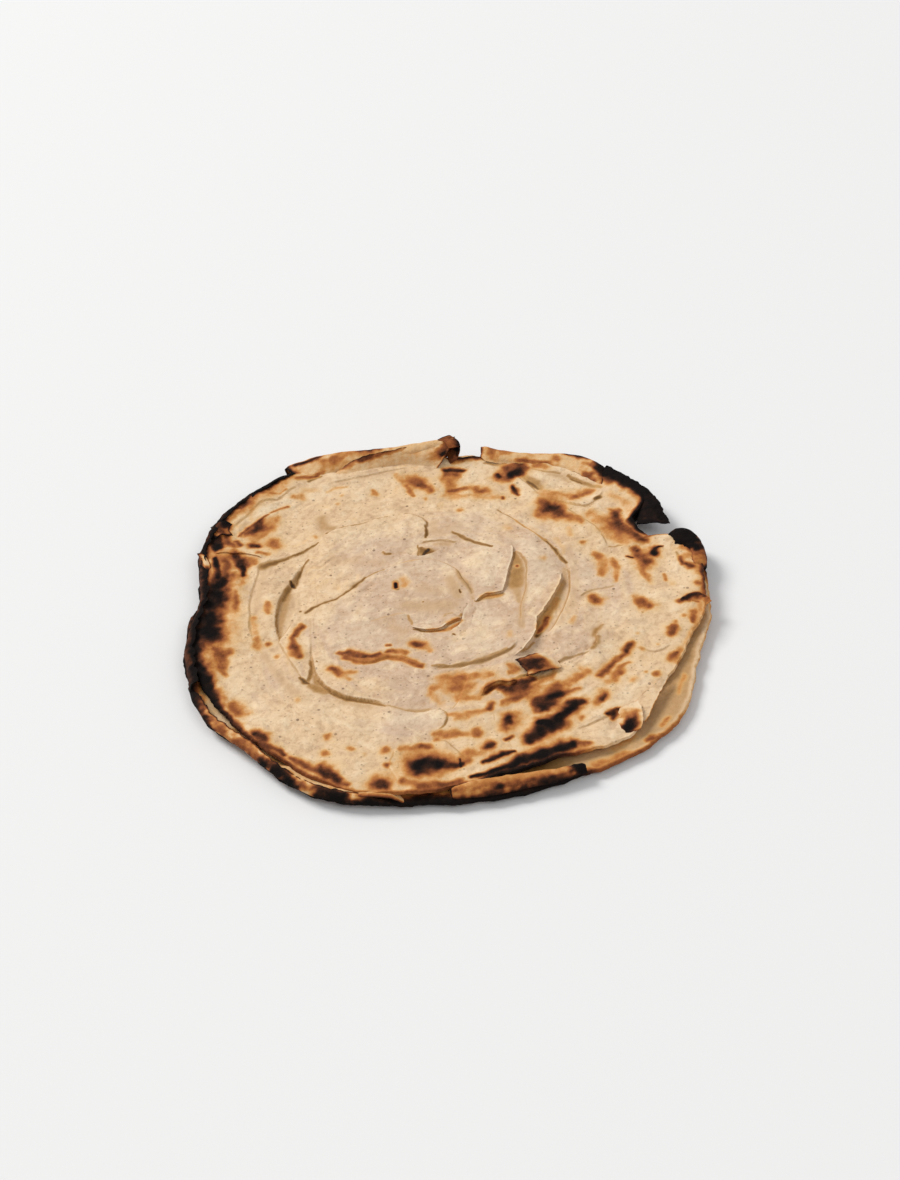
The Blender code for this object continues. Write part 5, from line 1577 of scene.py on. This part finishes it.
class Nodes:
    """Short calls for building one material's nodes."""

    def __init__(self, name):
        self.material = bpy.data.materials.new(name)
        self.material.use_nodes = True
        self.tree = self.material.node_tree
        self.shader = self.tree.nodes["Principled BSDF"]
        self.place = self.add("ShaderNodeTexCoord").outputs["Object"]

    def add(self, kind, **settings):
        """A new node with its settings."""
        node = self.tree.nodes.new(kind)
        for name, value in settings.items():
            setattr(node, name, value)
        return node

    def link(self, source, socket):
        """Join a socket, or set a number or colour, to an input."""
        if isinstance(source, bpy.types.NodeSocket):
            self.tree.links.new(source, socket)
        else:
            socket.default_value = source

    def attribute(self, name):
        """One of the mesh's own tints."""
        return self.add("ShaderNodeAttribute", attribute_name=name).outputs["Fac"]

    def noise(self, size, detail=2.0, roughness=0.5, distortion=0.0):
        """Cloudy noise; size is the width of one cloud in metres."""
        node = self.add("ShaderNodeTexNoise")
        self.link(self.place, node.inputs["Vector"])
        node.inputs["Scale"].default_value = 1 / size
        node.inputs["Detail"].default_value = detail
        node.inputs["Roughness"].default_value = roughness
        node.inputs["Distortion"].default_value = distortion
        return node.outputs["Fac"]

    def dots(self, size, rough=1.0):
        """Distance from scattered points; size is how far apart they lie in metres."""
        node = self.add("ShaderNodeTexVoronoi")
        self.link(self.place, node.inputs["Vector"])
        node.inputs["Scale"].default_value = 1 / size
        node.inputs["Randomness"].default_value = rough
        return node.outputs["Distance"], node.outputs["Color"]

    def math(self, operation, a, b=0.0, clamp=False):
        """The result of one operation on two values."""
        node = self.add("ShaderNodeMath", operation=operation, use_clamp=clamp)
        self.link(a, node.inputs[0])
        self.link(b, node.inputs[1])
        return node.outputs[0]

    def band(self, value, low, high, start=0.0, end=1.0):
        """Map a value from low..high to start..end, smoothly and held at both ends."""
        node = self.add("ShaderNodeMapRange", interpolation_type="SMOOTHSTEP")
        self.link(value, node.inputs["Value"])
        for socket, number in zip(("From Min", "From Max", "To Min", "To Max"),
                                  (low, high, start, end)):
            node.inputs[socket].default_value = number
        return node.outputs["Result"]

    def mix(self, share, a, b):
        """A share of the way from one colour to another."""
        node = self.add("ShaderNodeMix", data_type="RGBA")
        self.link(share, node.inputs[0])
        self.link(a, node.inputs[6])
        self.link(b, node.inputs[7])
        return node.outputs[2]

    def ramp(self, value, stops):
        """Colours for values, from stops of position and colour."""
        node = self.add("ShaderNodeValToRGB")
        elements = node.color_ramp.elements
        while len(elements) > 1:
            elements.remove(elements[-1])
        elements[0].position, elements[0].color = stops[0]
        for position, colour in stops[1:]:
            elements.new(position).color = colour
        self.link(value, node.inputs["Fac"])
        return node.outputs["Color"]

    def bump(self, height, distance, strength=1.0, normal=None):
        """Fine relief; distance is how deep it is in metres."""
        node = self.add("ShaderNodeBump")
        node.inputs["Strength"].default_value = strength
        node.inputs["Distance"].default_value = distance
        self.link(height, node.inputs["Height"])
        if normal is not None:
            self.link(normal, node.inputs["Normal"])
        return node.outputs["Normal"]


SCORCH_COLOURS = (
    (0.0, shade(230, 192, 138)), (0.14, shade(224, 178, 112)), (0.28, shade(206, 146, 78)),
    (0.42, shade(180, 112, 52)), (0.55, shade(144, 80, 38)), (0.68, shade(100, 54, 30)),
    (0.81, shade(60, 36, 26)), (0.92, shade(34, 24, 20)), (1.0, shade(22, 18, 17)),
)
# Colours of the painted shade in cracks and hollows, from faint to deepest.
CRACK_SHADE_COLOURS = (
    (0.0, shade(214, 182, 146)), (0.25, shade(200, 163, 120)), (0.5, shade(174, 130, 76)),
    (0.75, shade(126, 86, 36)), (1.0, shade(60, 38, 16)),
)


def dough_colour(n, patchy, mealy, tan):
    """The colour of the dough without its scorching: mottled cream with fine bran specks."""
    broad = n.noise(0.026, 4, 0.55)
    warm = n.math("ADD", n.attribute("warm"), n.math("MULTIPLY", n.math("SUBTRACT", broad, 0.5), 2.2))
    colour = n.mix(n.band(warm, 0.1, 0.9), shade(208, 178, 150), shade(225, 192, 151))
    colour = n.mix(n.band(patchy, 0.5, 0.66, 0.0, 0.75), colour, shade(235, 208, 172))
    colour = n.mix(n.band(patchy, 0.46, 0.34, 0.0, 0.6), colour, shade(196, 160, 126))
    colour = n.mix(n.band(mealy, 0.52, 0.36, 0.0, 0.4), colour, shade(180, 142, 106))
    colour = n.mix(n.band(mealy, 0.56, 0.7, 0.0, 0.35), colour, shade(240, 216, 184))
    toast = n.band(n.noise(0.013, 4, 0.65, 0.6), 0.56, 0.72, 0.0, 0.42)
    toast = n.math("MULTIPLY", toast, n.band(warm, 0.2, 0.8))
    colour = n.mix(toast, colour, shade(226, 180, 122))
    if tan:
        colour = n.mix(tan, colour, shade(206, 158, 108))
    for size, dot, threshold, strength in ((0.0019, 0.15, 0.62, 0.5), (0.0044, 0.1, 0.72, 0.75)):
        distance, cell = n.dots(size)
        chosen = n.band(cell, threshold, threshold + 0.05)
        speck = n.math("MULTIPLY", n.band(distance, dot, dot * 1.7, strength, 0.0), chosen)
        colour = n.mix(speck, colour, shade(112, 80, 54))
    return colour


def with_painted_highlights_and_shade(n, colour, mealy):
    """The dough's colour with painted highlights on its thin edges and painted shade in its cracks and
    hollows.
    """
    lit = n.math("MULTIPLY", n.attribute("light"), n.band(mealy, 0.3, 0.6, 0.35, 0.7))
    colour = n.mix(lit, colour, shade(244, 224, 192))
    crack = n.math("ADD", n.attribute("crack_shade"), n.math("MULTIPLY", n.math("SUBTRACT", mealy, 0.5), 0.3))
    shown = n.band(n.attribute("crack_shade"), 0.02, 0.42)
    return n.mix(shown, colour, n.ramp(crack, CRACK_SHADE_COLOURS))


def uneven_burn(n):
    """The mesh's scorching with a fine wobble where there is any."""
    wobble = n.math("MULTIPLY", n.math("SUBTRACT", n.noise(0.0026, 5, 0.68), 0.5), 0.42)
    burn = n.attribute("burn")
    held = n.band(burn, 0.04, 0.32)
    return n.math("ADD", burn, n.math("MULTIPLY", wobble, held), clamp=True)


def crust_material(name, tan=0.0):
    """Baked dough: mottled cream, fine bran specks, and scorching from tan to black.

    tan is how evenly toasted the whole surface is, from 0 to 1.
    """
    n = Nodes(name)
    patchy, mealy, fine = n.noise(0.0065, 4, 0.62, 0.4), n.noise(0.0021, 4, 0.65), n.noise(0.0007, 2, 0.6)
    colour = with_painted_highlights_and_shade(n, dough_colour(n, patchy, mealy, tan), mealy)
    burn = uneven_burn(n)
    colour = n.mix(n.band(burn, 0.02, 0.36), colour, n.ramp(burn, SCORCH_COLOURS))
    n.link(colour, n.shader.inputs["Base Color"])
    n.link(n.band(burn, 0.5, 0.95, 0.7, 0.85), n.shader.inputs["Roughness"])
    n.link(n.band(burn, 0.3, 0.85, 0.3, 0.06), n.shader.inputs["Specular IOR Level"])
    grain = n.bump(fine, 0.00008, 0.6)
    grain = n.bump(mealy, 0.0004, 0.75, grain)
    grain = n.bump(patchy, 0.0012, 0.65, grain)
    char = n.math("MULTIPLY", n.noise(0.0012, 4, 0.7), n.band(burn, 0.55, 0.9))
    n.link(n.bump(char, 0.0009, 0.8, grain), n.shader.inputs["Normal"])
    return n.material


def plain_material(name, colour, roughness):
    """The stage's plain surface, with a faint unevenness."""
    n = Nodes(name)
    n.link(n.mix(n.noise(0.4, 2), colour, [c * 0.99 for c in colour[:3]] + [1.0]),
           n.shader.inputs["Base Color"])
    n.shader.inputs["Roughness"].default_value = roughness
    n.shader.inputs["Specular IOR Level"].default_value = 0.2
    return n.material


# --- Putting it together -------------------------------------------------------------------------


def dress(piece, material, replaces=False):
    """Give a piece its material and tie it to the frame."""
    piece.data.materials.append(material)
    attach(piece, "root")
    if replaces:
        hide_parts(BREAD)


FLOOR_WIDTH = 6.0             # metres

# The camera, from where the photograph's view is taken: millimetres from the bread's middle.
CAMERA_AT = (0.9, -542.6, 484.3)
CAMERA_PITCH = 40.75
CAMERA_ROLL = 4.95
LENS = 57.8                   # millimetres, on a sensor SENSOR_HEIGHT millimetres high
SENSOR_HEIGHT = 36


def add_camera():
    """The camera at the photograph's viewing angle."""
    pitch, roll = math.radians(CAMERA_PITCH), math.radians(CAMERA_ROLL)
    forward = Vector((0, math.cos(pitch), -math.sin(pitch)))
    right = Vector((1, 0, 0))
    down = forward.cross(right)
    turned_right = right * math.cos(roll) + down * math.sin(roll)
    turned_down = down * math.cos(roll) - right * math.sin(roll)
    data = bpy.data.cameras.new("camera")
    data.sensor_fit = "VERTICAL"
    data.sensor_height = SENSOR_HEIGHT
    data.lens = LENS
    data.clip_start = 0.01
    camera = bpy.data.objects.new("camera", data)
    bpy.context.collection.objects.link(camera)
    place = Vector(placed(*CAMERA_AT))
    turn = Matrix((turned_right, -turned_down, -forward)).transposed().to_4x4()
    camera.matrix_world = Matrix.Translation(place) @ turn
    bpy.context.scene.camera = camera


def add_floor():
    """A plain pale floor."""
    half = FLOOR_WIDTH / 2
    mesh = bpy.data.meshes.new("floor")
    corners = [(-half, -half, 0), (half, -half, 0), (half, half, 0), (-half, half, 0)]
    mesh.from_pydata(corners, [], [(0, 1, 2, 3)])
    floor = bpy.data.objects.new("floor", mesh)
    bpy.context.collection.objects.link(floor)
    mesh.materials.append(plain_material("pale_floor", shade(236, 236, 236), 0.8))


def add_softbox(name, place, aim, size, power, colour):
    """A soft square lamp."""
    data = bpy.data.lights.new(name, "AREA")
    data.shape = "SQUARE"
    data.size = size
    data.energy = power
    data.color = colour
    lamp = bpy.data.objects.new(name, data)
    bpy.context.collection.objects.link(lamp)
    lamp.location = place
    lamp.rotation_euler = (Vector(aim) - Vector(place)).to_track_quat("-Z", "Y").to_euler()


def light_stage():
    """Soft light from above and behind, and an even pale surround."""
    world = bpy.data.worlds.new("surround")
    bpy.context.scene.world = world
    world.use_nodes = True
    background = world.node_tree.nodes["Background"]
    background.inputs["Color"].default_value = (1.0, 1.0, 1.0, 1.0)
    background.inputs["Strength"].default_value = 0.43
    add_softbox("key", (-4.4, 3.4, 5.0), (0, 0, 0), 3.0, 420.0, (1.0, 0.995, 0.985))
    add_softbox("front", (3.0, -3.6, 5.2), (0, 0, 0), 3.4, 100.0, (1.0, 1.0, 1.0))
    bpy.context.scene.view_settings.view_transform = "Standard"


crust = crust_material("crust_top")
under_crust = crust_material("crust_lower", 0.3)
dress(build_upper_layer(), crust, replaces=True)
dress(build_coil(), crust)
dress(build_lower_layer(), under_crust)
dress(build_flakes(), crust)
dress(build_folds("back_rolls", BACK_FOLDS + LUMP_FOLDS, 100), crust)
dress(build_folds("outer_rim", RIM_FOLDS, 300), crust)
dress(build_folds("torn_flakes", TORN_FLAKES, 500), crust)
add_floor()
light_stage()
add_camera()
